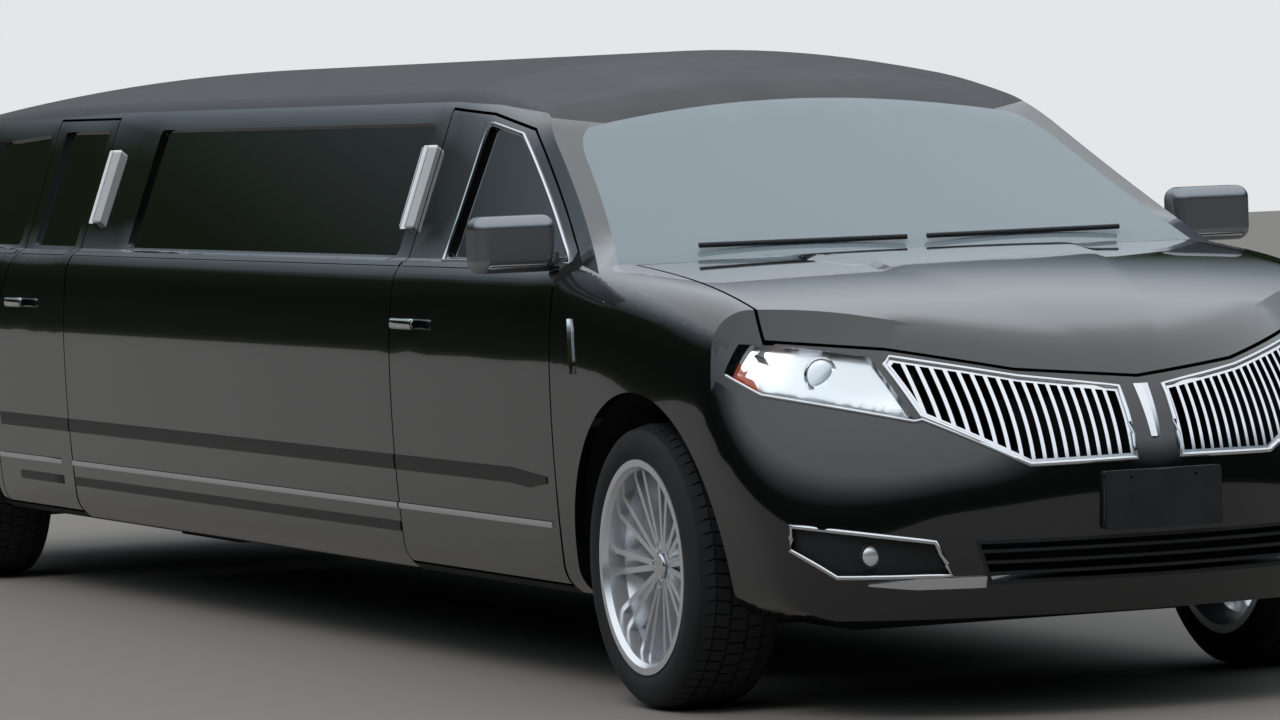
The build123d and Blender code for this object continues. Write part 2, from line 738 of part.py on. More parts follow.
def make_lining():
    """The cabin's lining: the headliner and the trims on the pillars beside the windows."""
    face = cabin(body_rim + lining_gap)
    zone = slab(620.0, rear_axle + 640.0, low=1200.0) & behind_screen(70.0)
    lining = (face & zone) - cabin(body_rim + lining_wall)
    cutters = []
    for points, by in ((front_door_points, -30.0), (rear_door_points, -30.0),
                       (long_window_points, 0.0), (quarter_window_points, 0.0)):
        hole = prism(points, by)
        cutters += [hole, hole.mirror(Plane.YZ)]
    return one(lining - cutters)


def make_liner(station):
    ring = wheel_space(station, liner_radius + 4.0, 505.0) - wheel_space(station, liner_radius, 505.0)
    ring = ring & skin_inner
    return one(ring - slab(-1000, 9000, low=0.0, high=floor_top + 1.0))


# Wheels
hub_bore = 31.0
disc_radius = 172.0
rim_width = 232.0
spoke_pairs = 10
rim_lip = 4.0
bead_clearance = 0.3


def turned(points):
    """A ring turned about the X axis from (x, radius) points."""
    face = make_face(Polyline(*[(x, r) for x, r in points], close=True).edges())
    return revolve(face, Axis.X, 360)


def make_tyre():
    half = tyre_width / 2
    bead = rim_width / 2 - rim_lip
    foot = rim_radius - 2 + bead_clearance
    profile = [
        (-bead, foot), (-bead, rim_radius + 12), (-half, rim_radius + 32), (-half - 1.0, tyre_radius - 48),
        (-half + 10, tyre_radius - 14), (-half + 34, tyre_radius - 2), (0, tyre_radius),
        (half - 34, tyre_radius - 2), (half - 10, tyre_radius - 14), (half + 1.0, tyre_radius - 48),
        (half, rim_radius + 32), (bead, rim_radius + 12), (bead, foot),
    ]
    wall = 12.0
    inner = [
        (bead - wall, foot), (half - wall, rim_radius + 32), (half - wall, tyre_radius - 50),
        (half - 40, tyre_radius - 16), (40 - half, tyre_radius - 16), (wall - half, tyre_radius - 50),
        (wall - half, rim_radius + 32), (wall - bead, foot),
    ]
    return turned(profile + inner)


def make_rim():
    """An alloy rim with pairs of slim spokes, its hub and its brake disc, outer face towards +X."""
    half = rim_width / 2
    lip = half + 4.0
    seat = half - rim_lip
    barrel = turned([
        (-lip, rim_radius - 10), (-lip, rim_radius + 12), (-seat, rim_radius + 12), (-seat, rim_radius - 2),
        (seat, rim_radius - 2), (seat, rim_radius + 12), (lip, rim_radius + 12), (lip, rim_radius - 6),
        (lip - 14, rim_radius - 16), (60.0, rim_radius - 18), (0.0, rim_radius - 40),
        (-60.0, rim_radius - 40), (-half + 10, rim_radius - 16),
    ])
    hub = turned([
        (-20, hub_bore), (-20, 74), (42, 80), (58, 62), (58, 30), (64, 26), (64, 0), (36, 0), (36, hub_bore),
    ])
    disc = turned([(-58, 70), (-58, disc_radius), (-36, disc_radius), (-36, 82), (-18, 74), (-18, 70)])
    wheel = barrel + hub + disc
    bars = []
    for i in range(spoke_pairs):
        for lean in (-6.5, 6.5):
            bar = Polyline((62, 40), (84, rim_radius - 10), (50, rim_radius - 10), (34, 60), close=True)
            blade = extrude(Plane.XY * make_face(bar.edges()), 7.5, both=True)
            bars.append(blade.rotate(Axis.X, 360 / spoke_pairs * i + lean))
    wheel = wheel + bars
    holes = []
    for i in range(5):
        hole = Plane.YZ.offset(44) * Pos(54, 0) * Circle(9)
        holes.append(extrude(hole, 40).rotate(Axis.X, 72 * i))
    return one(wheel - holes)


def to_wheel(shape, station):
    """Moves a wheel piece from the origin to its place on the +X side."""
    return Pos(half_track, at(station), axle_height) * shape


kingpin_low = 232.0
kingpin_high = 500.0
arm_thickness = 30.0
pin_radius = 14.0
pin_clearance = 0.5


def make_knuckle():
    """The upright that turns about the kingpin, with its spindle and its caliper."""
    y = at(0)
    upright = Pos(kingpin_x, y, (kingpin_low + kingpin_high) / 2) * Box(46, 100, kingpin_high - kingpin_low - 12)
    spindle = rod((kingpin_x, y, axle_height), (half_track + 30, y, axle_height), hub_bore - 1.0)
    low, high = kingpin_low - arm_thickness, kingpin_high + arm_thickness
    pin = rod((kingpin_x, y, low), (kingpin_x, y, high), pin_radius)
    disc_x = half_track - 47
    caliper = box_between((disc_x - 28, -200.0, axle_height - 55), (disc_x + 28, -110.0, axle_height + 75))
    slot = Pos(disc_x, y, axle_height) * Rot(0, 90, 0) * Cylinder(disc_radius + 6, 34)
    link = box_between((kingpin_x - 20, -150.0, axle_height - 25), (disc_x - 20, -20.0, axle_height + 25))
    return one(upright + [spindle, pin, caliper - slot, link])


def make_front_subframe():
    """The front frame rails and cradle, with the arms that carry the kingpins."""
    y = at(0)
    frame = slab(-260.0, 300.0, low=190.0, high=235.0, half=470.0)
    frame = frame - slab(-160.0, 200.0, low=100, high=300, half=330.0)
    pieces = [slab(-880.0, -840.0, low=330.0, high=420.0, half=470.0)]
    latch = box_between((-25, -862, 400), (25, -844, 1100)) & nose_loft(skin_wall + seat_clearance)
    latch = one(latch & body_loft(front_sections, inset=skin_wall, floor_inset=20.0,
                                  top_inset=skin_wall + seat_clearance))
    pieces.append(latch)
    bore = rod((kingpin_x, y, 100), (kingpin_x, y, 900), pin_radius + pin_clearance)
    for side in (-1, 1):
        outline = [
            (470, -60), (470, 60), (kingpin_x - 8, 24), (kingpin_x + 14, 15), (kingpin_x + 20, 6),
            (kingpin_x + 20, -6), (kingpin_x + 14, -15), (kingpin_x - 8, -24),
        ]
        arms = [
            plan_prism(outline, low=kingpin_low - arm_thickness, high=kingpin_low),
            plan_prism(outline, low=kingpin_high, high=kingpin_high + arm_thickness),
        ]
        parts = [arm - bore for arm in arms]
        parts.append(box_between((400, -880, 330), (470, floor_front, 420)))
        parts.append(box_between((400, -60, 230), (470, 60, kingpin_high + arm_thickness)))
        parts.append(box_between((400, floor_front - 60, 200), (470, floor_front, 340)))
        pieces += parts if side > 0 else [part.mirror(Plane.YZ) for part in parts]
    return one(frame + pieces)


def make_engine():
    return slab(-560.0, 190.0, low=235.0, high=820.0, half=310.0)


def make_radiator():
    return slab(-840.0, -790.0, low=330.0, high=790.0, half=395.0)


def make_rear_axle():
    """The rear drive unit and its arms, which carry the rear wheels' spindles."""
    s0 = rear_axle
    unit = slab(s0 - 170.0, s0 + 150.0, low=250.0, high=480.0, half=150.0)
    unit = unit + slab(s0 - 60.0, s0 + 60.0, low=200.0, high=245.0, half=640.0)
    unit = unit + slab(s0 - 60.0, s0 + 60.0, low=240.0, high=300.0, half=140.0)
    for side in (-1, 1):
        shaft = rod((100, at(s0), axle_height), (half_track + 30, at(s0), axle_height), hub_bore - 1.0)
        carrier = box_between((600, s0 - 55, 200), (690, s0 + 55, 470))
        disc_x = half_track - 47
        caliper = box_between((disc_x - 28, s0 + 110, 311), (disc_x + 28, s0 + 200, 441))
        slot = Pos(disc_x, at(s0), axle_height) * Rot(0, 90, 0) * Cylinder(disc_radius + 6, 34)
        link = box_between((650, s0 + 20, 345), (disc_x - 20, s0 + 150, 395))
        strut = rod((400, at(s0), 460), (400, at(s0), 560), 35.0)
        tie = box_between((360, s0 - 55, 430), (620, s0 + 55, 470))
        arm = shaft + carrier + (caliper - slot) + link + strut + tie
        unit = unit + (arm if side > 0 else arm.mirror(Plane.YZ))
    return one(unit)


tow_eye = (7090.0, 226.0)
tow_eye_r = 16.0


def make_boot_floor():
    start, end = 5480.0, rear_axle + 1100.0
    floor = slab(start, end, low=560.0, high=585.0, half=640.0)
    pieces = [slab(start - 8.0, start + 20.0, low=ground_clearance, high=585.0, half=720.0)]
    for x in (-470.0, 470.0):
        pieces.append(box_between((x - 22, start, 500), (x + 22, end - 20, 562)))
    space = wheel_space(rear_axle, liner_radius + 8.0, 494.0)
    pieces.append(box_between((462, tow_eye[0] - 32, tow_eye[1] - 30), (478, tow_eye[0] + 26, 505)))
    hole = rod((440, at(tow_eye[0]), tow_eye[1]), (500, at(tow_eye[0]), tow_eye[1]), tow_eye_r)
    return one(floor + pieces - [space, space.mirror(Plane.YZ), hole])


def make_tank():
    tank = slab(4750.0, 5400.0, low=150.0, high=262.0, half=370.0)
    return one(fillet(tank.edges().filter_by(Axis.Z), 40.0))


def make_exhaust():
    silencer = slab(6350.0, 6700.0, low=330.0, high=480.0, half=300.0)
    silencer = fillet(silencer.edges().filter_by(Axis.X), 50.0)
    out = silencer
    for x in (-220.0, 220.0):
        out = out + rod((x, at(6690), 400), (x, at(7110), 400), 32.0)
        out = out + box_between((x - 10, 6500, 470), (x + 10, 6540, 560))
    return one(out)


# Inside the cabin
dash_front = 505.0


def make_dashboard():
    dash = wall_inner & slab(dash_front, 900.0, low=690.0, high=1085.0, half=818.0)
    nose = prism([(dash_front - 10, 640.0), (dash_front - 10, 1200.0), (700.0, 1200.0), (880.0, 1060.0),
                  (880.0, 960.0), (760.0, 800.0), (700.0, 640.0)], inner=-1200.0)
    column = Pos(0, 0, -92.0 - hinge_clearance - 70.0) * Cylinder(28.0, 144.0)
    x, s, z = wheel_hub
    return one((dash & nose) + Pos(x, at(s), z) * Rot(column_tilt - 90, 0, 0) * column)


def make_firewall():
    """The bulkhead, with the posts at its ends that carry the front doors' hinges."""
    wall = skin_inner & slab(floor_front + 8.0, dash_front, low=floor_top - 4.0, high=1090.0)
    start = door_front_edge - hinge_lead - 22.0
    post = skin_inner & box_between((848, start, floor_top - 4.0), (1200, door_front_edge - 4.0, 1040))
    post = post - [wheel_space(0.0, liner_radius + 8.0, 300.0), *hinge_pockets(door_front_edge)]
    post = one(post) + hinge_pins(door_front_edge)
    notches = hinge_pockets(door_front_edge)
    wall = one(wall - notches - [notch.mirror(Plane.YZ) for notch in notches])
    return one(wall + [post, post.mirror(Plane.YZ)])


column_tilt = 24.0
wheel_hub = (370.0, 1010.0, 1010.0)


def make_steering_wheel():
    ring = Torus(188.0, 15.0)
    hub = Cylinder(52.0, 44.0)
    wheel = ring + hub
    for angle in (0, 90, 180):
        spoke = Pos(105, 0, -4) * Box(150, 34, 14)
        wheel = wheel + spoke.rotate(Axis.Z, angle)
    wheel = wheel + Pos(0, 0, -50) * Cylinder(20.0, 80.0)  # ends at -90, facing the column
    x, s, z = wheel_hub
    return one(Pos(x, at(s), z) * Rot(column_tilt - 90, 0, 0) * wheel)


def seat(x, start, width, floor_z=floor_top, seat_z=440.0, back_z=1080.0, depth=520.0):
    """A bucket seat on its plinth, facing forwards."""
    plinth = box_between((x - width / 2 + 60, start + 60, floor_z), (x + width / 2 - 60, start + depth - 60, seat_z))
    cushion = box_between((x - width / 2, start, seat_z), (x + width / 2, start + depth, seat_z + 130))
    cushion = fillet(cushion.edges(), 38.0)
    back = box_between((x - width / 2, start + depth - 60, seat_z + 40), (x + width / 2, start + depth + 90, back_z))
    back = fillet(back.edges(), 38.0)
    head = box_between((x - 130, start + depth, back_z - 20), (x + 130, start + depth + 80, back_z + 170))
    head = fillet(head.edges(), 30.0)
    return one(plinth + cushion + back + head)


def make_front_seats():
    first = seat(-370.0, 1120.0, 520.0)
    return Compound(children=[*first.solids(), *first.mirror(Plane.YZ).solids()])


def make_long_bench():
    base = box_between((-800, 2250, floor_top), (-320, 4650, 560))
    back = box_between((-800, 2250, 500), (-680, 4650, 1000))
    return one(fillet((base + back).edges().filter_by(Axis.Y), 30.0))


def make_rear_bench():
    base = box_between((-560, 4960, floor_top), (560, 5460, 560))
    back = box_between((-560, 5340, 500), (560, 5460, 1120))
    return one(fillet((base + back).edges().filter_by(Axis.X), 30.0))


def make_bar():
    base = box_between((420, 2250, floor_top), (800, 4300, 900))
    top = box_between((400, 2230, 900), (806, 4320, 925))
    return one(base + top)


# Outside fittings
lamp_size = (34.0, 62.0, 232.0)
lamp_stations = (front_door_end + 62.0, rear_door_start - 90.0)


def make_coach_lamps():
    """Upright carriage lamps on the posts next to the doors."""
    lamps = []
    for s in lamp_stations:
        block = prism([(s - 31, 1217), (s - 31, 1449), (s + 31, 1449), (s + 31, 1217)], radius=10.0)
        proud = cabin(-lamp_size[0]) - glasshouse
        lamps.append(one(proud & block))
    return Compound(children=lamps)


def make_mirror():
    """A door mirror on its foot at the front corner of the window."""
    head = Pos(1032, at(612), 1190) * Box(230, 110, 150)
    head = fillet(head.edges(), 34.0)
    foot = box_between((880, 580, 1128), (960, 650, 1150))
    neck = box_between((905, 590, 1135), (975, 640, 1165))
    outside = (head + foot + neck) - whole
    return one(outside)


# A door's hinge arm in plan, from the pin around the edge of the panel ahead. Columns: x, y.
hinge_arm = [
    (2.6, 5.4), (-75.4, 42.6), (-44.9, 92.9), (-31.9, 114.3), (-42.1, 120.5), (-55.1, 99.1), (-92.5, 37.4),
    (-2.6, -5.4),
]
arm_height = 30.0
handle_z = 959.0
handle_length = 168.0


def make_hinge_arm(front_edge, z):
    y = at(front_edge - hinge_lead)
    outline = [(hinge_x + dx, y + dy) for dx, dy in hinge_arm]
    face = make_face(Polyline(*outline, close=True).edges())
    arm = extrude(Plane.XY.offset(z - arm_height / 2) * face, arm_height)
    boss = Pos(hinge_x, y, z) * Cylinder(hinge_boss, arm_height)
    return arm + boss - Pos(hinge_x, y, z) * Cylinder(hinge_pin + hinge_clearance, arm_height * 2)


def make_handle(rear_edge):
    """A pull handle on two feet, near the door's rear edge."""
    end = rear_edge - 75.0
    start = end - handle_length
    bar = box_between((976, start, handle_z - 13), (992, end, handle_z + 13))
    bar = fillet(bar.edges(), 6.0)
    feet = [box_between((950, s, handle_z - 10), (980, s + 26, handle_z + 10)) for s in (start + 6, end - 32)]
    return bar + feet


def make_door(points_zone, window_points, window_radius, front_edge, rear_edge):
    door = door_walls & points_zone
    door = door - prism(window_points, radius=window_radius)
    floor_side = slab(0, 9000, low=0, high=floor_top + 8, half=floor_half + 8)
    rear_step = door_inner_face & box_between((300, rear_edge - 14.0, 1120), (1200, rear_edge + 20.0, 1900))
    sweep = Pos(hinge_x, at(front_edge - hinge_lead), 900.0) * Cylinder(hinge_sweep, 1400.0)
    door = one(door - [floor_side, rear_step, sweep])
    arms = [make_hinge_arm(front_edge, z) for z in hinge_heights]
    return one(door + arms + make_handle(rear_edge))


plate_hole_spacing = 177.8
plate_hole_z = 594.0
plate_hole_r = 3.5


def make_plate_panel():
    face = -front_overhang - plate_proud
    panel = front_view([(-160, 468), (-160, 612), (160, 612), (160, 468)], face, face + 60.0, radius=8.0)
    holes = [rod((x, at(face - 10.0), plate_hole_z), (x, at(face + 90.0), plate_hole_z), plate_hole_r)
             for x in (-plate_hole_spacing / 2, plate_hole_spacing / 2)]
    return one(one(panel - nose_loft(0.0)) - holes)


def screen_sag(x):
    return screen_plan_radius - sqrt(screen_plan_radius**2 - x**2)


def make_wipers():
    """Two parked wipers, lying along the foot of the windscreen."""
    arms = []
    z = 1172.0
    for places in ((-610.0, -40.0), (20.0, 620.0)):
        middle = screen_sag(sum(places) / 2)
        bulge = sum(screen_sag(x) for x in places) / 2 - middle
        rise = (z - screen_base[1]) * screen_slope
        ends = [(x, at(screen_base[0] + screen_sag(x) + rise - bulge - 16.5), z) for x in places]
        arms.append(rod(*ends, 7.0))
    return Compound(children=arms)


door_mirror = make_mirror()
tyre, rim = make_tyre(), make_rim()


def make_side_glass():
    panes = [
        one(glass_shell & prism(long_window_points, radius=20.0)),
        one(glass_shell & prism(quarter_window_points, radius=25.0)),
    ]
    return Compound(children=panes)


def make_wheel_liners():
    return Compound(children=[make_liner(0.0), make_liner(rear_axle)])


# What stands on the centre line, and what has a mirror image in the same node.
centre_nodes = {
    "hood": make_hood,
    "front_bumper": make_front_bumper,
    "lower_intake": make_intake,
    "cowl_panel": make_cowl,
    "windscreen": make_windscreen,
    "roof_panel": make_roof,
    "rear_bumper": make_rear_bumper,
    "tailgate": make_gate,
    "tailgate_glass": make_gate_glass,
    "floor_pan": make_floor_pan,
    "cabin_lining": make_lining,
    "front_subframe": make_front_subframe,
    "engine_block": make_engine,
    "radiator": make_radiator,
    "rear_axle": make_rear_axle,
    "fuel_tank": make_tank,
    "exhaust": make_exhaust,
    "dashboard": make_dashboard,
    "steering_wheel": make_steering_wheel,
    "front_seats": make_front_seats,
    "long_bench": make_long_bench,
    "rear_bench": make_rear_bench,
    "bar_cabinet": make_bar,
    "number_plate": make_plate_panel,
    "wipers": make_wipers,
}
paired_nodes = {
    "fenders": make_fender,
    "headlamps": make_headlamp,
    "grille": make_grille,
    "fog_lamps": make_fog,
    "roof_rails": make_rails,
    "stretch_panels": make_stretch_panel,
    "quarter_panels": make_quarter_panel,
    "tail_lamps": make_tail_lamp,
    "wheel_liners": make_wheel_liners,
    "coach_lamps": make_coach_lamps,
    "side_glass": make_side_glass,
}


def handed_nodes():
    """The pieces that move by themselves on each side, as drawn for the left."""
    return {
        "door_front": make_door(
            front_door_zone, front_window_points, 14.0, door_front_edge, front_door_end - gap / 2
        ),
        "glass_front": one(glass_shell & prism(front_window_points, radius=14.0)),
        "mirror": door_mirror,
        "door_rear": make_door(
            rear_door_zone, rear_window_points, 14.0, rear_door_start, rear_axle - 700.0
        ),
        "glass_rear": one(glass_shell & prism(rear_window_points, radius=14.0)),
        "knuckle": make_knuckle(),
        "tyre_front": to_wheel(tyre, 0.0),
        "rim_front": to_wheel(rim, 0.0),
        "tyre_rear": to_wheel(tyre, rear_axle),
        "rim_rear": to_wheel(rim, rear_axle),
    }


if __name__ == "__main__":
    os.makedirs("parts", exist_ok=True)
    for name, make in centre_nodes.items():
        save(make(), name)
    for name, make in paired_nodes.items():
        save(both_sides(make()), name)
    for name, shape in handed_nodes().items():
        save(shape, name + "_left")
        save(shape.mirror(Plane.YZ), name + "_right")
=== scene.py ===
# A black stretch limousine: its finishes and fine details, around the fixed CAD frame.
import json
import math

import bmesh
import bpy
import numpy as np
from mathutils import Matrix, Vector
from mathutils.bvhtree import BVHTree
from mathutils.kdtree import KDTree

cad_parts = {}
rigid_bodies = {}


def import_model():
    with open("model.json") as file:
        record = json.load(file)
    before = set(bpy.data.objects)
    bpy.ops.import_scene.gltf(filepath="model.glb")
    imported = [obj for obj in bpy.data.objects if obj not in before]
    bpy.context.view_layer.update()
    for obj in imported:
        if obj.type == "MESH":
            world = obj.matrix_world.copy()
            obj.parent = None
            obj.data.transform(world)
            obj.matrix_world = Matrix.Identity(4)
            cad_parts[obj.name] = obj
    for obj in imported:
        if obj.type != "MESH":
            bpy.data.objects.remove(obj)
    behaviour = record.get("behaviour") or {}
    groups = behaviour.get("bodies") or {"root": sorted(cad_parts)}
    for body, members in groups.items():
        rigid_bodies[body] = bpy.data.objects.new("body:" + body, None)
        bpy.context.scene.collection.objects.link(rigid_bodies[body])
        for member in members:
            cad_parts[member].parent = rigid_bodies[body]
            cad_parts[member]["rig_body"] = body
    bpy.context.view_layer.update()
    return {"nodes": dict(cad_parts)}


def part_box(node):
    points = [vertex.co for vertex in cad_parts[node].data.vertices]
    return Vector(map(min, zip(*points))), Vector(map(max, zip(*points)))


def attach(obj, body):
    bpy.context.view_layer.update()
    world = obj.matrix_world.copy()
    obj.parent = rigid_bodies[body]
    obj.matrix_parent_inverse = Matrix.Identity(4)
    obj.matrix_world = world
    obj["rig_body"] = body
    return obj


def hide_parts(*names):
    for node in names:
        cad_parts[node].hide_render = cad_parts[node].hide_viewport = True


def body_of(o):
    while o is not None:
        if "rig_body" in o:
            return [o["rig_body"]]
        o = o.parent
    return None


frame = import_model()
nodes = frame["nodes"]
print("frame loaded:", len(nodes), "nodes")

# Where the car stands in the frame: the front axle's place along Y
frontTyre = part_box("tyre_front_left")
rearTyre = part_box("tyre_rear_left")
axleY = (frontTyre[0].y + frontTyre[1].y) / 2
rearAxleY = (rearTyre[0].y + rearTyre[1].y) / 2
wheelX = (frontTyre[0].x + frontTyre[1].x) / 2
axleZ = (frontTyre[0].z + frontTyre[1].z) / 2
tyreRadius = (frontTyre[1].z - frontTyre[0].z) / 2

# The reach that welds a mesh's doubles, and where rays start: beside the car, and ahead of the front axle
weldReach = 0.00005
besideCar = 1.4
aheadOfNose = 1.6


def toLinear(hexColor):
    """sRGB hex to the linear values that sockets take."""
    values = [int(hexColor[i : i + 2], 16) / 255 for i in (1, 3, 5)]
    return [v / 12.92 if v <= 0.04045 else ((v + 0.055) / 1.055) ** 2.4 for v in values] + [1.0]


# Materials
def newMaterial(name, color, roughness, metallic=0.0, **extra):
    material = bpy.data.materials.new(name)
    material.use_nodes = True
    shader = material.node_tree.nodes["Principled BSDF"]
    shader.inputs["Base Color"].default_value = toLinear(color)
    shader.inputs["Roughness"].default_value = roughness
    shader.inputs["Metallic"].default_value = metallic
    for socket, value in extra.items():
        shader.inputs[socket.replace("_", " ")].default_value = value
    return material


def addVariation(material, scale, dark, light, roughLow, roughHigh, bump=0.0, bumpScale=None, detail=4.0):
    """Uneven colour and roughness from noise on the object's own coordinates, and a fine bump."""
    tree = material.node_tree
    shader = tree.nodes["Principled BSDF"]
    coords = tree.nodes.new("ShaderNodeTexCoord")
    noise = tree.nodes.new("ShaderNodeTexNoise")
    noise.inputs["Scale"].default_value = scale
    noise.inputs["Detail"].default_value = detail
    tree.links.new(coords.outputs["Object"], noise.inputs["Vector"])
    ramp = tree.nodes.new("ShaderNodeValToRGB")
    ramp.color_ramp.elements[0].position = 0.35
    ramp.color_ramp.elements[1].position = 0.65
    ramp.color_ramp.elements[0].color = toLinear(dark)
    ramp.color_ramp.elements[1].color = toLinear(light)
    tree.links.new(noise.outputs["Fac"], ramp.inputs["Fac"])
    tree.links.new(ramp.outputs["Color"], shader.inputs["Base Color"])
    spread = tree.nodes.new("ShaderNodeMapRange")
    spread.inputs["From Min"].default_value = 0.3
    spread.inputs["From Max"].default_value = 0.7
    spread.inputs["To Min"].default_value = roughLow
    spread.inputs["To Max"].default_value = roughHigh
    tree.links.new(noise.outputs["Fac"], spread.inputs["Value"])
    tree.links.new(spread.outputs["Result"], shader.inputs["Roughness"])
    if bump:
        fine = tree.nodes.new("ShaderNodeTexNoise")
        fine.inputs["Scale"].default_value = bumpScale
        fine.inputs["Detail"].default_value = 2.0
        tree.links.new(coords.outputs["Object"], fine.inputs["Vector"])
        node = tree.nodes.new("ShaderNodeBump")
        node.inputs["Strength"].default_value = bump
        node.inputs["Distance"].default_value = 0.001
        tree.links.new(fine.outputs["Fac"], node.inputs["Height"])
        tree.links.new(node.outputs["Normal"], shader.inputs["Normal"])
    return material


finishes = {
    "paint": dict(color="#0a0b0d", roughness=0.09, Coat_Weight=1.0, Coat_Roughness=0.015),
    # lighter and duller than the body paint: a painted sheen of the sky on a roof that has the same black paint
    "roof": dict(color="#232427", roughness=0.42),
    "chrome": dict(color="#dfe1e4", roughness=0.07, metallic=1.0),
    "glassDark": dict(color="#08090b", roughness=0.02, Coat_Weight=1.0, Coat_Roughness=0.0),
    "rubber": dict(color="#17181a", roughness=0.78),
    "alloy": dict(color="#e6e8eb", roughness=0.22, metallic=0.85),
    "steel": dict(color="#6d7074", roughness=0.38, metallic=1.0),
    "blackPlastic": dict(color="#101113", roughness=0.55),
    "underseal": dict(color="#1b1c1d", roughness=0.85),
    "leather": dict(color="#1c1b1b", roughness=0.48),
    "headliner": dict(color="#8b8a86", roughness=0.95),
    "walnut": dict(color="#2c1a10", roughness=0.2, Coat_Weight=1.0),
    "lampRed": dict(color="#5a0408", roughness=0.08, Coat_Weight=1.0),
    "lampAmber": dict(color="#b0492a", roughness=0.12, Coat_Weight=1.0),
    "lampWhite": dict(color="#eceeef", roughness=0.18),
    "leatherTrim": dict(color="#2b2a2a", roughness=0.55),
    "satinTrim": dict(color="#55585c", roughness=0.3, metallic=0.9),
    "mirrorGlass": dict(color="#c9ccd0", roughness=0.01, metallic=1.0),
    "screenGlass": dict(color="#a9b8c0", roughness=0.0, Transmission_Weight=0.62, IOR=1.5),
    "reflector": dict(color="#e3e5e8", roughness=0.24, metallic=0.75),
    "lensClear": dict(color="#eef3f6", roughness=0.0, Transmission_Weight=1.0, IOR=1.12),
    "plateRim": dict(color="#3a3c3f", roughness=0.3),
    # dark and dull: painted shade in the body-side crease, and the painted shadow line on the rocker
    "darkBand": dict(color="#050506", roughness=0.35),
    "silver": dict(color="#8f9398", roughness=0.25, metallic=0.9),
}
materials = {name: newMaterial(name, **values) for name, values in finishes.items()}
addVariation(materials["rubber"], 9.0, "#121314", "#1e1f21", 0.7, 0.88, 0.5, 420.0)
addVariation(materials["roof"], 5.0, "#202124", "#28292c", 0.38, 0.5, 0.35, 900.0)
addVariation(materials["underseal"], 7.0, "#151617", "#242526", 0.75, 0.95, 0.8, 160.0)
addVariation(materials["leather"], 20.0, "#181717", "#222020", 0.42, 0.56, 0.5, 700.0)
addVariation(materials["headliner"], 12.0, "#82817d", "#93928e", 0.9, 1.0, 0.6, 800.0)
addVariation(materials["blackPlastic"], 14.0, "#0e0f11", "#16171a", 0.48, 0.62, 0.4, 1100.0)
addVariation(materials["steel"], 30.0, "#5f6266", "#7a7d81", 0.3, 0.46)
print("materials made:", len(materials))


# Pieces made of a CAD node's own surface, welded and smoothed so that gloss runs over it
def setMaterial(obj, material):
    obj.data.materials.clear()
    obj.data.materials.append(materials[material])


# Gloss shows each facet of a coarse surface, so the panels' shading normals are averaged over a
# small neighbourhood of the whole body, apart from faces that meet at a real edge.
gloss = {"longestEdge": 0.16, "reach": 0.1, "edgeAngle": 34.0}


def refined(nodeName, longest):
    work = bmesh.new()
    work.from_mesh(nodes[nodeName].data)
    bmesh.ops.remove_doubles(work, verts=work.verts, dist=weldReach)
    bmesh.ops.dissolve_degenerate(work, edges=work.edges, dist=0.00002)
    bmesh.ops.triangulate(work, faces=work.faces)
    for _ in range(7):
        long = [edge for edge in work.edges if edge.calc_length() > longest]
        if not long:
            break
        bmesh.ops.subdivide_edges(work, edges=long, cuts=1)
        bmesh.ops.triangulate(work, faces=work.faces)
    work.normal_update()
    return work


def averagedNormals(work, tree, normals, areas):
    """One normal per face corner: the mean of nearby faces that turn less than a real edge."""
    limit = math.cos(math.radians(gloss["edgeAngle"]))
    near = []
    for vertex in work.verts:
        hits = tree.find_range(vertex.co, gloss["reach"])
        ids = np.fromiter((hit[1] for hit in hits), int, len(hits))
        fade = 1.0 - np.fromiter((hit[2] for hit in hits), float, len(hits)) / gloss["reach"]
        near.append((normals[ids], normals[ids] * (areas[ids] * fade)[:, None]))
    result = []
    for face in work.faces:
        own = np.array(face.normal)
        for vertex in face.verts:
            directions, weighted = near[vertex.index]
            total = weighted[directions @ own > limit].sum(axis=0)
            length = np.linalg.norm(total)
            result.append(tuple(total / length) if length > 1e-12 else tuple(own))
    return result


hoodRidge = {
    "rear": 0.30, "front": -0.94, "rearHalf": 0.45, "frontHalf": 0.085, "rise": 0.012, "edge": 0.05,
    "narrowing": 0.8, "rearFade": 7.0, "longestEdge": 0.045,
}


def raiseHood(work):
    """The hood's raised middle, which narrows towards the nose."""
    for vertex in work.verts:
        if vertex.normal.z < 0.2:
            continue
        along = (vertex.co.y - axleY - hoodRidge["front"]) / (hoodRidge["rear"] - hoodRidge["front"])
        along = min(1.0, max(0.0, along))
        widening = (hoodRidge["rearHalf"] - hoodRidge["frontHalf"]) * along ** hoodRidge["narrowing"]
        half = hoodRidge["frontHalf"] + widening
        inside = min(1.0, max(0.0, (half - abs(vertex.co.x)) / hoodRidge["edge"]))
        fade = min(1.0, (1.0 - along) * hoodRidge["rearFade"])
        vertex.co.z += hoodRidge["rise"] * inside * inside * (3.0 - 2.0 * inside) * fade


sideNames = ("left", "right")
doorNames = [f"door_{end}_{side}" for end in ("front", "rear") for side in sideNames]
painted = ["fenders", "hood", "front_bumper", "cowl_panel", "stretch_panels", "quarter_panels", "rear_bumper",
           "roof_rails", "tailgate", "roof_panel", *doorNames]
doorGlasses = [f"glass_{end}_{side}" for end in ("front", "rear") for side in sideNames]
glazed = ["side_glass", "tailgate_glass", "windscreen", *doorGlasses]
# the roof panel takes the roof finish, whose charcoal colour is a painted sky sheen
shownFinish = {"roof_panel": "roof", "windscreen": "screenGlass", "tail_lamps": "lampRed"}


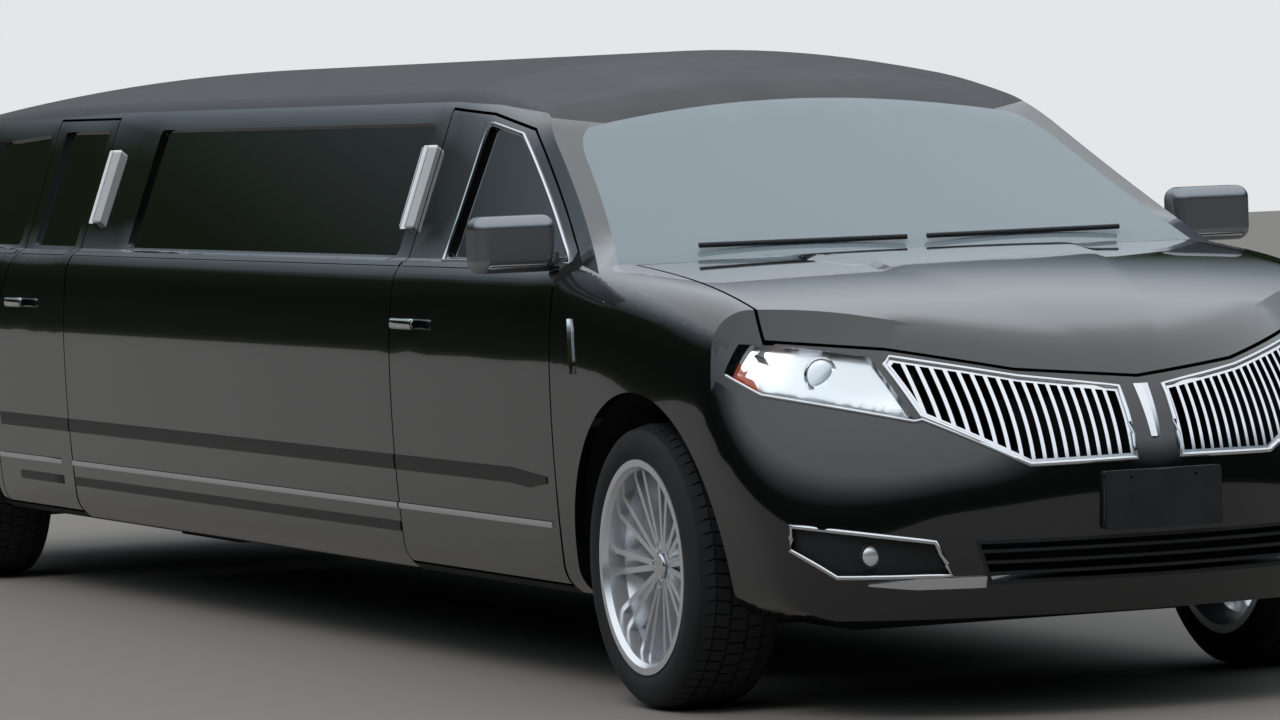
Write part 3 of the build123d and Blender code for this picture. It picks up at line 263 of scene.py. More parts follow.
def showPanels(names, finish):
    """Smooth copies of CAD nodes, which share one field of shading normals."""
    longest = {"hood": hoodRidge["longestEdge"]}
    meshes = {name: refined(name, longest.get(name, gloss["longestEdge"])) for name in names}
    faces = [face for work in meshes.values() for face in work.faces]
    tree = KDTree(len(faces))
    for i, face in enumerate(faces):
        tree.insert(face.calc_center_median(), i)
    tree.balance()
    faceNormals = np.array([face.normal for face in faces])
    faceAreas = np.array([face.calc_area() for face in faces])
    for name, work in meshes.items():
        work.verts.index_update()
        if name == "hood":
            raiseHood(work)
        normals = averagedNormals(work, tree, faceNormals, faceAreas)
        for face in work.faces:
            face.smooth = True
        mesh = bpy.data.meshes.new(name + "_shown")
        work.to_mesh(mesh)
        work.free()
        mesh.normals_split_custom_set(normals)
        panel = bpy.data.objects.new(name + "_shown", mesh)
        bpy.context.scene.collection.objects.link(panel)
        setMaterial(panel, shownFinish.get(name, finish))
        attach(panel, body_of(nodes[name])[0])
        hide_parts(name)
    print("smooth panels made:", len(names), "with", len(faces), "faces")


showPanels(painted, "paint")
showPanels(glazed, "glassDark")
showPanels(["tail_lamps"], "lampRed")

nodeFinishes = {
    "chrome": ["grille"],
    "rubber": [f"tyre_{e}_{s}" for e in ("front", "rear") for s in sideNames],
    "alloy": [f"rim_{e}_{s}" for e in ("front", "rear") for s in sideNames],
    "steel": ["rear_axle", "exhaust", "knuckle_left", "knuckle_right"],
    "blackPlastic": ["wipers", "lower_intake", "fog_lamps", "radiator", "dashboard", "steering_wheel",
                     "number_plate"],
    "underseal": ["floor_pan", "wheel_liners", "front_subframe", "engine_block", "fuel_tank"],
    "leather": ["front_seats", "long_bench", "rear_bench"],
    "headliner": ["cabin_lining"],
    "walnut": ["bar_cabinet"],
    "lampWhite": ["headlamps"],
    "silver": ["mirror_left", "mirror_right"],
}
for material, names in nodeFinishes.items():
    for name in names:
        setMaterial(nodes[name], material)
print("node finishes set")


# Places on the car's skin, found by rays against the CAD surface
def surfaceOf(names):
    vertices, faces = [], []
    for name in names:
        mesh = nodes[name].data
        start = len(vertices)
        vertices += [vertex.co.copy() for vertex in mesh.vertices]
        faces += [[start + i for i in polygon.vertices] for polygon in mesh.polygons]
    return BVHTree.FromPolygons(vertices, faces)


sideSkin = surfaceOf(["fenders", "stretch_panels", "quarter_panels", *doorNames])
noseSkin = surfaceOf(["front_bumper", "hood", "headlamps", "grille", "fog_lamps", "lower_intake", "fenders"])


def onSide(station, z, lift, sign=1):
    """A point on the body side at a station and height, lifted off it."""
    hit, _, _, _ = sideSkin.ray_cast(Vector((besideCar * sign, axleY + station, z)), Vector((-sign, 0, 0)))
    if hit is None:
        return None
    return hit + Vector((sign, 0, 0)) * lift


def onNose(x, z, lift):
    """A point on the nose, seen from straight ahead, lifted forwards."""
    hit, _, _, _ = noseSkin.ray_cast(Vector((x, axleY - aheadOfNose, z)), Vector((0, 1, 0)))
    return None if hit is None else hit + Vector((0, -lift, 0))


def meshPiece(name, vertices, faces, material, body, smooth=35.0):
    mesh = bpy.data.meshes.new(name)
    mesh.from_pydata([tuple(v) for v in vertices], [], faces)
    work = bmesh.new()
    work.from_mesh(mesh)
    bmesh.ops.recalc_face_normals(work, faces=work.faces)
    for edge in work.edges:
        edge.smooth = len(edge.link_faces) == 2 and edge.calc_face_angle(3.0) < math.radians(smooth)
    for face in work.faces:
        face.smooth = True
    work.to_mesh(mesh)
    work.free()
    obj = bpy.data.objects.new(name, mesh)
    bpy.context.scene.collection.objects.link(obj)
    setMaterial(obj, material)
    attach(obj, body)
    return obj


def joined(parts):
    """One vertex list and one face list from several."""
    vertices, faces = [], []
    for partVertices, partFaces in parts:
        start = len(vertices)
        vertices += partVertices
        faces += [[start + i for i in face] for face in partFaces]
    return vertices, faces


def tube(path, radius, sides=8, closed=False, flat=1.0):
    """A round or flattened bead along a path."""
    count = len(path)
    vertices = []
    for i, point in enumerate(path):
        ahead = path[(i + 1) % count] if closed or i < count - 1 else path[i]
        back = path[i - 1] if closed or i > 0 else path[i]
        along = (ahead - back).normalized()
        out = Vector((0, 0, 1)) if abs(along.z) < 0.9 else Vector((0, 1, 0))
        across = along.cross(out).normalized()
        up = across.cross(along)
        for k in range(sides):
            turn = 2 * math.pi * k / sides
            vertices.append(point + across * radius * math.cos(turn) * flat + up * radius * math.sin(turn))
    faces = []
    for i in range(count if closed else count - 1):
        a, b = i * sides, (i + 1) % count * sides
        for k in range(sides):
            n = (k + 1) % sides
            faces.append([a + k, a + n, b + n, b + k])
    if not closed:
        faces += [list(range(sides))[::-1], [(count - 1) * sides + k for k in range(sides)]]
    return vertices, faces


def bar(rows):
    """A closed bar through rows of equal counts of corner points."""
    corners = len(rows[0])
    vertices = [point for row in rows for point in row]
    faces = []
    for i in range(len(rows) - 1):
        a, b = i * corners, (i + 1) * corners
        faces += [[a + k, a + (k + 1) % corners, b + (k + 1) % corners, b + k] for k in range(corners)]
    faces += [list(range(corners))[::-1], [(len(rows) - 1) * corners + k for k in range(corners)]]
    return vertices, faces


def spread(points, step):
    """Points every step or less along straight runs through the given pairs."""
    out = []
    for (a0, a1), (b0, b1) in zip(points, points[1:]):
        count = max(1, round(math.hypot(b0 - a0, b1 - a1) / step))
        out += [(a0 + (b0 - a0) * i / count, a1 + (b1 - a1) * i / count) for i in range(count)]
    return out + [points[-1]]


# Long trims on the body side: a chrome sill strip, a dark, dull strip of painted shade in the crease along the
# doors, and a painted shadow line on the rocker. Columns: name, first station, last station, low z, high z,
# lift, material.
seams = {"front": (0.547, 1.728), "middle": (1.742, 4.713), "rear": (4.727, 5.50)}
bodyOf = {"front": "door_front_", "middle": "body", "rear": "door_rear_"}
sideTrims = [
    # painted shade of the crease along the doors
    ("groove_painted_shade", 0.60, 5.46, 0.547, 0.589, 0.0022, "darkBand"),
    ("sill_strip", 0.585, 5.50, 0.438, 0.454, 0.0045, "chrome"),
    # painted shadow line on the rocker
    ("rocker_painted_shadow", 1.745, 5.30, 0.372, 0.400, 0.0018, "darkBand"),
]


# The groove's strip of painted shade starts slim and a little lower behind the front wheel, and grows to its
# full height.
groove = {"above": 0.5, "start": 0.58, "share": 0.35, "growth": 0.22,
          "drop": 0.016, "level": 0.85, "fall": 0.25}
stripStep, stripRoot, stripCrown = 0.12, -0.002, 1.25


def sideStrip(first, last, low, high, lift, sign):
    count = max(2, round((last - first) / stripStep))
    grows = high > groove["above"]
    rows = []
    for i in range(count + 1):
        s = first + (last - first) * i / count
        taper = min(1.0, groove["share"] + (s - groove["start"]) / groove["growth"]) if grows else 1.0
        drop = groove["drop"] * max(0.0, groove["level"] - s) / groove["fall"] if grows else 0.0
        places = [(high, stripRoot), (high, lift), (high - (high - low) * 0.5 * taper, lift * stripCrown),
                  (high - (high - low) * taper, lift), (high - (high - low) * taper, stripRoot)]
        row = [onSide(s, z - drop, up, sign) for z, up in places]
        if None not in row:
            rows.append(row)
    return bar(rows)


for trimName, first, last, low, high, lift, material in sideTrims:
    for zone, (zoneStart, zoneEnd) in seams.items():
        start, end = max(first, zoneStart), min(last, zoneEnd)
        if end - start < 0.05:
            continue
        for sign, side in ((1, "left"), (-1, "right")):
            body = bodyOf[zone] + side if zone != "middle" else "body"
            strip = sideStrip(start, end, low, high, lift, sign)
            meshPiece(f"{trimName}_{zone}_{side}", *strip, material, body)
print("side trims made")


def nosePath(points, lift, step=0.03, sign=1):
    path = [onNose(x * sign, z, lift) for x, z in spread(points, step)]
    return [point for point in path if point is not None]


# Bright lines on the nose. Columns: name, outline as (x, z), closed, radius, lift, material.
noseLines = [
    ("grille_edge", [(0.062, 0.640), (0.062, 0.812), (0.300, 0.846), (0.560, 0.902), (0.578, 0.885),
                     (0.548, 0.760), (0.330, 0.636)], True, 0.0065, 0.002, "chrome"),
    ("lamp_line", [(0.330, 0.634), (0.548, 0.752), (0.566, 0.748), (0.840, 0.817), (0.896, 0.867)],
     False, 0.0045, 0.002, "chrome"),
    ("fog_edge", [(0.520, 0.372), (0.560, 0.455), (0.845, 0.500), (0.845, 0.440), (0.760, 0.372)],
     True, 0.0065, 0.002, "chrome"),
    ("plate_edge", [(-0.158, 0.470), (-0.158, 0.610), (0.158, 0.610), (0.158, 0.470)],
     True, 0.0030, 0.015, "plateRim"),
]
for lineName, points, closed, radius, lift, material in noseLines:
    outline = points + [points[0]] if closed else points
    parts = []
    for sign in (1, -1) if lineName != "plate_edge" else (1,):
        path = nosePath(outline, lift, 0.03, sign)
        if closed:
            path = path[:-1]
        parts.append(tube(path, radius, 8, closed))
    meshPiece(lineName, *joined(parts), material, "body", 60.0)

# The blade under the bumper and the plain bar between the grille wings
bumperBlade = {"reach": 0.70, "steps": 40, "z": 0.352, "half": 0.014, "tip": 0.72, "taper": 0.12,
               "lift": 0.006, "depth": 0.012}
blade = []
for i in range(bumperBlade["steps"] + 1):
    x = -bumperBlade["reach"] + 2 * bumperBlade["reach"] * i / bumperBlade["steps"]
    width = bumperBlade["half"] * min(1.0, (bumperBlade["tip"] - abs(x)) / bumperBlade["taper"])
    low, high = (onNose(x, bumperBlade["z"] + way * width, bumperBlade["lift"]) for way in (-1, 1))
    if low is not None and high is not None:
        deep = Vector((0, bumperBlade["depth"], 0))
        blade.append([low, high, high + deep, low + deep])
meshPiece("bumper_blade", *bar(blade), "chrome", "body", 50.0)

noseBar = {"low": 0.690, "height": 0.128, "steps": 14, "half": 0.013, "widening": 0.007, "proud": 0.011,
           "edge": 0.003, "root": 0.006}
ridge = []
for i in range(noseBar["steps"] + 1):
    z = noseBar["low"] + noseBar["height"] * i / noseBar["steps"]
    half = noseBar["half"] + noseBar["widening"] * i / noseBar["steps"]
    hit = onNose(0.0, z, 0.0)
    if hit is not None:
        out = Vector((0, -noseBar["proud"], 0))
        edge = Vector((0, -noseBar["edge"], 0))
        side = Vector((half, 0, 0))
        back = Vector((0, noseBar["root"], 0))
        ridge.append([hit - side + back, hit - side + edge, hit + out, hit + side + edge, hit + side + back])
meshPiece("nose_bar", *bar(ridge), "chrome", "body", 30.0)
print("nose lines made")


# Headlamps: a clear cover over a bright bowl, with a projector and an outer marker
def frontVertices(work, reach, skin):
    """Vertices that are first in line from straight ahead."""
    found = []
    for vertex in work.verts:
        hit, _, _, _ = skin.ray_cast(Vector((vertex.co.x, axleY - aheadOfNose, vertex.co.z)), Vector((0, 1, 0)))
        if hit is not None and abs(hit.y - vertex.co.y) < reach:
            found.append(vertex)
    return found


def outerFaces(work):
    """Faces on the nose's outer form: the walls cut along the car have no lengthwise normal."""
    work.normal_update()
    return [face for face in work.faces if face.normal.y < -0.03]


def cutAlong(work, station, normal):
    geometry = work.verts[:] + work.edges[:] + work.faces[:]
    bmesh.ops.bisect_plane(work, geom=geometry, plane_co=station, plane_no=normal, dist=0.0001)


# The amber marker starts at a leaning plane. The bowl is pressed inwards and back from the cover.
marker = {"x": 0.812, "z": 0.80, "lean": 0.42}
bowlPress = {"inwards": 0.010, "back": 0.028}
projector = {"x": 0.705, "z": 0.862, "seat": 0.027, "radius": 0.034, "depth": 0.018,
             "hoop": 0.041, "bead": 0.005}
innerHoop = {"inwards": 0.1, "ahead": 0.012, "below": 0.012, "radius": 0.030, "bead": 0.004}
lampMesh = nodes["headlamps"].data
lampSkin = surfaceOf(["headlamps"])


def lampCopy():
    work = bmesh.new()
    work.from_mesh(lampMesh)
    bmesh.ops.remove_doubles(work, verts=work.verts, dist=weldReach)
    bmesh.ops.triangulate(work, faces=work.faces)
    for _ in range(5):
        long = [edge for edge in work.edges if edge.calc_length() > 0.03]
        if not long:
            break
        bmesh.ops.subdivide_edges(work, edges=long, cuts=1)
        bmesh.ops.triangulate(work, faces=work.faces)
    return work


bowl = lampCopy()
for sign in (1, -1):
    across = Vector((1.0 * sign, 0, -marker["lean"])).normalized()
    cutAlong(bowl, Vector((marker["x"] * sign, 0, marker["z"])), across)
front = outerFaces(bowl)
pressed = bmesh.ops.extrude_face_region(bowl, geom=front)["geom"]
for vertex in pressed:
    if isinstance(vertex, bmesh.types.BMVert):
        inwards = -bowlPress["inwards"] if vertex.co.x > 0 else bowlPress["inwards"]
        vertex.co += Vector((inwards, bowlPress["back"], 0))
bmesh.ops.delete(bowl, geom=front, context="FACES")
bowl.normal_update()
centers = {}
for sign in (1, -1):
    for face in bowl.faces:
        center = face.calc_center_median()
        past = (center.x * sign - marker["x"]) - marker["lean"] * (center.z - marker["z"])
        face.material_index = 1 if past > 0 else 0 if center.x * sign > 0 else face.material_index
    ahead = Vector((projector["x"] * sign, axleY - aheadOfNose, projector["z"]))
    centers[sign] = lampSkin.ray_cast(ahead, Vector((0, 1, 0)))[0]
bowlMesh = bpy.data.meshes.new("lamp_bowl")
bowl.to_mesh(bowlMesh)
bowl.free()
for polygon in bowlMesh.polygons:
    polygon.use_smooth = True
bowlMesh.set_sharp_from_angle(angle=math.radians(30))
bowlObject = bpy.data.objects.new("lamp_bowl", bowlMesh)
bpy.context.scene.collection.objects.link(bowlObject)
for material in ("reflector", "lampAmber"):
    bowlMesh.materials.append(materials[material])
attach(bowlObject, "body")
cover = lampCopy()
front = set(outerFaces(cover))
bmesh.ops.delete(cover, geom=[face for face in cover.faces if face not in front], context="FACES")
coverMesh = bpy.data.meshes.new("lamp_cover")
cover.to_mesh(coverMesh)
cover.free()
coverObject = bpy.data.objects.new("lamp_cover", coverMesh)
bpy.context.scene.collection.objects.link(coverObject)
setMaterial(coverObject, "lensClear")
for polygon in coverMesh.polygons:
    polygon.use_smooth = True
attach(coverObject, "body")
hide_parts("headlamps")


def dome(center, radius, depth, rings=8, sides=28):
    vertices = [center + Vector((0, -depth, 0))]
    for i in range(1, rings + 1):
        turn = math.pi / 2 * i / rings
        for k in range(sides):
            angle = 2 * math.pi * k / sides
            r = radius * math.sin(turn)
            place = Vector((r * math.cos(angle), -depth * math.cos(turn), r * math.sin(angle)))
            vertices.append(center + place)
    faces = [[0, 1 + k, 1 + (k + 1) % sides] for k in range(sides)]
    for i in range(rings - 1):
        a, b = 1 + i * sides, 1 + (i + 1) * sides
        faces += [[a + k, b + k, b + (k + 1) % sides, a + (k + 1) % sides] for k in range(sides)]
    return vertices, faces


def ring(center, radius, thick, sides=32):
    turns = [2 * math.pi * k / sides for k in range(sides)]
    path = [center + Vector((radius * math.cos(turn), 0, radius * math.sin(turn))) for turn in turns]
    return tube(path, thick, 8, True)


eyes, hoops = [], []
for sign, place in centers.items():
    seat = place + Vector((0, projector["seat"], 0))
    eyes.append(dome(seat, projector["radius"], projector["depth"]))
    hoops.append(ring(seat + Vector((0, -0.004, 0)), projector["hoop"], projector["bead"]))
    shift = Vector((-sign * innerHoop["inwards"], -innerHoop["ahead"], -innerHoop["below"]))
    hoops.append(ring(seat + shift, innerHoop["radius"], innerHoop["bead"]))
meshPiece("projector_eyes", *joined(eyes), "lensClear", "body", 80.0)
meshPiece("projector_hoops", *joined(hoops), "chrome", "body", 80.0)
print("headlamps made")

# Fog lamp recesses: the panel set back in its frame, with a small round lamp
fogLamp = {"recess": 0.020, "x": 0.69, "z": 0.424, "seat": 0.019, "radius": 0.026, "depth": 0.010,
           "hoop": 0.030, "bead": 0.004}
fogSkin = surfaceOf(["fog_lamps"])
fog = bmesh.new()
fog.from_mesh(nodes["fog_lamps"].data)
bmesh.ops.remove_doubles(fog, verts=fog.verts, dist=weldReach)
for vertex in frontVertices(fog, 0.003, fogSkin):
    vertex.co.y += fogLamp["recess"]
fogMesh = bpy.data.meshes.new("fog_recess")
fog.to_mesh(fogMesh)
fog.free()
fogObject = bpy.data.objects.new("fog_recess", fogMesh)
bpy.context.scene.collection.objects.link(fogObject)
setMaterial(fogObject, "blackPlastic")
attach(fogObject, "body")
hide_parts("fog_lamps")
fogEyes, fogHoops = [], []
for sign in (1, -1):
    ahead = Vector((fogLamp["x"] * sign, axleY - aheadOfNose, fogLamp["z"]))
    seat = fogSkin.ray_cast(ahead, Vector((0, 1, 0)))[0] + Vector((0, fogLamp["seat"], 0))
    fogEyes.append(dome(seat, fogLamp["radius"], fogLamp["depth"]))
    fogHoops.append(ring(seat, fogLamp["hoop"], fogLamp["bead"]))
meshPiece("fog_eyes", *joined(fogEyes), "reflector", "body", 80.0)
meshPiece("fog_hoops", *joined(fogHoops), "blackPlastic", "body", 80.0)
print("fog lamps made")

# Tyres: a rounded casing with blocks of road tread, inside the plain CAD ring
tyre = {"radius": tyreRadius, "groove": 0.007, "blocks": 66, "fill": 0.86, "sides": 96}


def tyreCasing(center):
    deep = tyre["radius"] - tyre["groove"]
    profile = [(-0.114, 0.263), (-0.116, 0.277), (-0.124, 0.290), (-0.1262, 0.306), (-0.125, 0.322),
               (-0.119, 0.340), (-0.110, 0.351), (-0.097, deep - 0.0015), (-0.060, deep), (0.0, deep)]
    profile += [(-x, r) for x, r in profile[-2::-1]]
    vertices, faces = [], []
    for k in range(tyre["sides"]):
        turn = 2 * math.pi * k / tyre["sides"]
        vertices += [center + Vector((x, r * math.cos(turn), r * math.sin(turn))) for x, r in profile]
    count = len(profile)
    for k in range(tyre["sides"]):
        a, b = k * count, (k + 1) % tyre["sides"] * count
        faces += [[a + i, a + i + 1, b + i + 1, b + i] for i in range(count - 1)]
        faces.append([a + count - 1, a, b, b + count - 1])
    return vertices, faces


def treadBlocks(center):
    """Four ribs of slanted blocks and the shoulder lugs."""
    parts = []
    top, foot = tyre["radius"] - 0.0004, tyre["radius"] - tyre["groove"] - 0.004
    rows = [(-0.106, -0.070, 0.25, -0.010), (-0.064, -0.028, 0.0, 0.006), (-0.021, 0.021, 0.5, 0.0),
            (0.028, 0.064, 0.25, -0.006), (0.070, 0.106, 0.0, 0.010)]
    step = 2 * math.pi / tyre["blocks"]
    for low, high, phase, slant in rows:
        for k in range(tyre["blocks"]):
            start = (k + phase) * step
            end = start + step * tyre["fill"]
            lean = slant / tyre["radius"]
            corners = []
            for radius in (foot, top):
                for x, turn in ((low, start), (high, start + lean), (high, end + lean), (low, end)):
                    crown = 0.0
                    if radius == top:
                        crown = 0.0004 + 0.011 * max(0.0, (abs(x) - 0.068) / 0.038) ** 2
                    r = radius - crown
                    corners.append(center + Vector((x, r * math.cos(turn), r * math.sin(turn))))
            parts.append((corners, [[4, 5, 6, 7], [0, 1, 5, 4], [1, 2, 6, 5], [2, 3, 7, 6], [3, 0, 4, 7]]))
    return joined(parts)


wheelPlaces = {}
for end, y in (("front", axleY), ("rear", rearAxleY)):
    for sign, side in ((1, "left"), (-1, "right")):
        wheelPlaces[f"{end}_{side}"] = (Vector((wheelX * sign, y, axleZ)), sign)
for name, (center, sign) in wheelPlaces.items():
    casing = meshPiece(f"tyre_casing_{name}", *tyreCasing(center), "rubber", f"wheel_{name}", 60.0)
    meshPiece(f"tyre_tread_{name}", *treadBlocks(center), "rubber", f"wheel_{name}", 20.0)
    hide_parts(f"tyre_{name}")
print("tyres made")


# Wheel nuts and the plain centre cap
def puck(center, axis, radius, height, sides=20, tip=0.8):
    vertices = []
    for level, size in ((0.0, 1.0), (0.75, 1.0), (1.0, tip)):
        for k in range(sides):
            turn = 2 * math.pi * k / sides
            vertices.append(center + Vector((axis * height * level, radius * size * math.cos(turn),
                                             radius * size * math.sin(turn))))
    faces = []
    for a in (0, sides):
        b = a + sides
        faces += [[a + k, a + (k + 1) % sides, b + (k + 1) % sides, b + k] for k in range(sides)]
    faces += [list(range(sides))[::-1], [2 * sides + k for k in range(sides)]]
    return vertices, faces


wheelCap = {"out": 0.060, "radius": 0.033, "height": 0.010, "sides": 32}
wheelNut = {"count": 5, "out": 0.043, "circle": 0.054, "radius": 0.0085, "height": 0.016, "sides": 6}
for name, (center, sign) in wheelPlaces.items():
    place = center + Vector((wheelCap["out"] * sign, 0, 0))
    parts = [puck(place, sign, wheelCap["radius"], wheelCap["height"], wheelCap["sides"], 0.9)]
    for i in range(wheelNut["count"]):
        turn = math.radians(360 / wheelNut["count"] * i)
        circle = wheelNut["circle"]
        place = center + Vector((wheelNut["out"] * sign, circle * math.cos(turn), circle * math.sin(turn)))
        parts.append(puck(place, sign, wheelNut["radius"], wheelNut["height"], wheelNut["sides"], 0.9))
    meshPiece(f"wheel_nuts_{name}", *joined(parts), "chrome", f"wheel_{name}", 30.0)
print("wheel nuts made")


# Trims round the front door's window, the handles and the fender bars, on the doors and fenders
windowTrim = [(0.546, 1.133), (1.184, 1.474), (1.400, 1.505), (1.440, 1.506), (1.455, 1.133)]
handle = {"front": (1.488, 1.656), "rear": (5.100, 5.268)}
handleZ, handleHalf = 0.959, 0.0145
handleFaces = (0.9752, 0.9932)
fenderBar = {"station": 0.379, "z": 0.851, "leans": 0.030, "height": 0.143, "half": 0.013, "steps": 12}


def roundedBar(low, high, inset):
    (x0, y0, z0), (x1, y1, z1) = low, high
    rows = []
    for y, cut in ((y0, inset), (y0 + inset, 0.0), (y1 - inset, 0.0), (y1, inset)):
        a, b, c, d = x0 + cut * 0.6, x1 - cut * 0.6, z0 + cut * 0.6, z1 - cut * 0.6
        r = inset * 0.6
        rows.append([Vector(p) for p in ((a + r, y, c), (b - r, y, c), (b, y, c + r), (b, y, d - r),
                                         (b - r, y, d), (a + r, y, d), (a, y, d - r), (a, y, c + r))])
    return bar(rows)


for sign, side in ((1, "left"), (-1, "right")):
    outline = spread(windowTrim + [windowTrim[0]], 0.06)[:-1]
    path = [onSide(s, z, 0.001, sign) for s, z in outline]
    meshPiece(f"window_trim_{side}", *tube([p for p in path if p is not None], 0.0052, 8, True), "chrome",
              f"door_front_{side}", 60.0)
    for end, (start, stop) in handle.items():
        near, far = sorted(x * sign for x in handleFaces)
        grip = roundedBar((near, axleY + start - 0.001, handleZ - handleHalf),
                          (far, axleY + stop + 0.001, handleZ + handleHalf), 0.008)
        meshPiece(f"handle_grip_{end}_{side}", *grip, "chrome", f"door_{end}_{side}", 40.0)
    rows = []
    for i in range(fenderBar["steps"] + 1):
        share = i / fenderBar["steps"]
        s = fenderBar["station"] + fenderBar["leans"] * share
        z = fenderBar["z"] + fenderBar["height"] * share
        half = fenderBar["half"] * min(1.0, 0.35 + 4.0 * min(share, 1.0 - share))
        row = [onSide(s - half, z, -0.002, sign), onSide(s - half, z, 0.004, sign), onSide(s, z, 0.010, sign),
               onSide(s + half, z, 0.004, sign), onSide(s + half, z, -0.002, sign)]
        if None not in row:
            rows.append(row)
    meshPiece(f"fender_bar_{side}", *bar(rows), "chrome", "body", 30.0)

# The belt line under the windows. Columns: name, zone, first, last, low z, high z.
beltLines = [
    ("belt_front", "front", 0.60, 1.725, 1.117, 1.127),
    ("belt_middle", "middle", 1.745, 4.712, 1.117, 1.127),
    ("belt_rear", "rear", 4.730, 5.300, 1.117, 1.127),
    ("belt_quarter", "quarter", 5.365, 6.380, 1.117, 1.127),
]
beltStep, beltRoot, beltLift = 0.15, -0.001, 0.004
for lineName, zone, first, last, low, high in beltLines:
    for sign, side in ((1, "left"), (-1, "right")):
        rows = []
        count = max(2, round((last - first) / beltStep))
        for i in range(count + 1):
            s = first + (last - first) * i / count
            places = [(high, beltRoot), (high, beltLift), (low, beltLift), (low, beltRoot)]
            row = [onSide(s, z, lift, sign) for z, lift in places]
            if None not in row:
                rows.append(row)
        body = bodyOf[zone] + side if zone in ("front", "rear") else "body"
        meshPiece(f"{lineName}_{side}", *bar(rows), "satinTrim", body, 40.0)
print("door trims made")

# Mirrors: a bright strip under each cap and the glass behind it
for sign, side in ((1, "left"), (-1, "right")):
    low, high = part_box(f"mirror_{side}")
    outer = high.x if sign > 0 else low.x
    head = sorted((outer - 0.200 * sign, outer - 0.030 * sign))
    front, back = low.y, high.y
    stripLow = (head[0], front - 0.0005, low.z + 0.012)
    stripHigh = (head[1], front + 0.06, low.z + 0.024)
    strip = roundedBar(stripLow, stripHigh, 0.006)
    meshPiece(f"mirror_strip_{side}", *strip, "chrome", f"door_front_{side}", 40.0)
    paneLow = (head[0], back - 0.004, low.z + 0.040)
    paneHigh = (head[1], back + 0.0008, high.z - 0.022)
    pane = roundedBar(paneLow, paneHigh, 0.002)
    meshPiece(f"mirror_pane_{side}", *pane, "mirrorGlass", f"door_front_{side}", 40.0)

# Coach lamps: a slim white lens with bright edges, on the posts next to the doors
slim = {"proud": 0.62, "width": 0.74, "edge": 0.0038}
lampStations = (1.7995, 4.634)
lensMesh = nodes["coach_lamps"].data.copy()
for vertex in lensMesh.vertices:
    place = vertex.co
    sign = 1 if place.x > 0 else -1
    station = min(lampStations, key=lambda s: abs(axleY + s - place.y))
    place.y = axleY + station + (place.y - axleY - station) * slim["width"]
    post, _, _, _ = sideSkin.ray_cast(Vector((besideCar * sign, place.y, place.z)), Vector((-sign, 0, 0)))
    if post is not None and abs(place.x) > abs(post.x):
        place.x = post.x + (place.x - post.x) * slim["proud"]
lens = bpy.data.objects.new("coach_lamp_lenses", lensMesh)
bpy.context.scene.collection.objects.link(lens)
setMaterial(lens, "lampWhite")
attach(lens, "body")
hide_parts("coach_lamps")
lensFaces = BVHTree.FromPolygons([v.co.copy() for v in lensMesh.vertices],
                                 [list(polygon.vertices) for polygon in lensMesh.polygons])
lampLow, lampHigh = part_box("coach_lamps")
edges = []
for station in lampStations:
    for sign in (1, -1):
        for shift in (-0.020, 0.020):
            path = []
            for i in range(9):
                z = lampLow.z + 0.006 + (lampHigh.z - lampLow.z - 0.012) * i / 8
                hit, _, _, _ = lensFaces.ray_cast(Vector((besideCar * sign, axleY + station + shift, z)),
                                                  Vector((-sign, 0, 0)))
                if hit is not None:
                    path.append(hit)
            if len(path) > 2:
                edges.append(tube(path, slim["edge"], 8))
meshPiece("coach_lamp_edges", *joined(edges), "chrome", "body", 60.0)
print("mirrors and coach lamps made")

# Seats: crowned pads with sewn channels and piping, in the space of the plain seats
floorTop = 0.307
padCuts = 21


def padPoint(unit, half, up, crown, channels):
    """A place on a crowned pad from a place on the unit cube; up is the axis and sign of the sitting face."""
    axis, way = up
    flatAxes = [i for i in range(3) if i != axis]
    size = list(half)
    size[axis] -= crown / 2
    corner = min(0.045, 0.46 * min(size))
    place = [unit[i] * size[i] for i in range(3)]
    core = [max(corner - size[i], min(size[i] - corner, place[i])) for i in range(3)]
    offset = Vector([place[i] - core[i] for i in range(3)])
    place = Vector(core) + offset.normalized() * corner
    u, v = (unit[i] for i in flatAxes)
    place[flatAxes[0]] *= 1.0 - 0.012 * (1.0 - v * v)
    place[flatAxes[1]] *= 1.0 - 0.012 * (1.0 - u * u)
    place[axis] -= way * crown / 2
    if unit[axis] * way > 0:
        swell = (1.0 - u ** 4) * (1.0 - v ** 4)
        lift = crown * swell * unit[axis] * way
        for channel in channels:
            lift -= 0.009 * math.exp(-((v - channel) / 0.045) ** 2) * (1.0 - u ** 8)
        place[axis] += way * lift
    return place


def padMesh(low, high, up, crown, channels):
    work = bmesh.new()
    bmesh.ops.create_cube(work, size=2.0)
    bmesh.ops.subdivide_edges(work, edges=work.edges[:], cuts=padCuts, use_grid_fill=True)
    center = (Vector(low) + Vector(high)) / 2
    half = (Vector(high) - Vector(low)) / 2
    vertices = [center + padPoint(vertex.co, half, up, crown, channels) for vertex in work.verts]
    work.verts.index_update()
    faces = [[vertex.index for vertex in face.verts] for face in work.faces]
    work.free()
    return vertices, faces


def pipingMesh(low, high, up, crown):
    """The welt around a pad's sitting face."""
    axis, way = up
    center = (Vector(low) + Vector(high)) / 2
    half = (Vector(high) - Vector(low)) / 2
    first, second = [i for i in range(3) if i != axis]
    path = []
    for start, end in (((-1, -1), (1, -1)), ((1, -1), (1, 1)), ((1, 1), (-1, 1)), ((-1, 1), (-1, -1))):
        for i in range(12):
            share = i / 12
            unit = Vector((0, 0, 0))
            unit[first] = start[0] + (end[0] - start[0]) * share
            unit[second] = start[1] + (end[1] - start[1]) * share
            unit[axis] = way * 0.72
            path.append(center + padPoint(unit, half, up, crown, ()))
    return tube(path, 0.0042, 6, True)


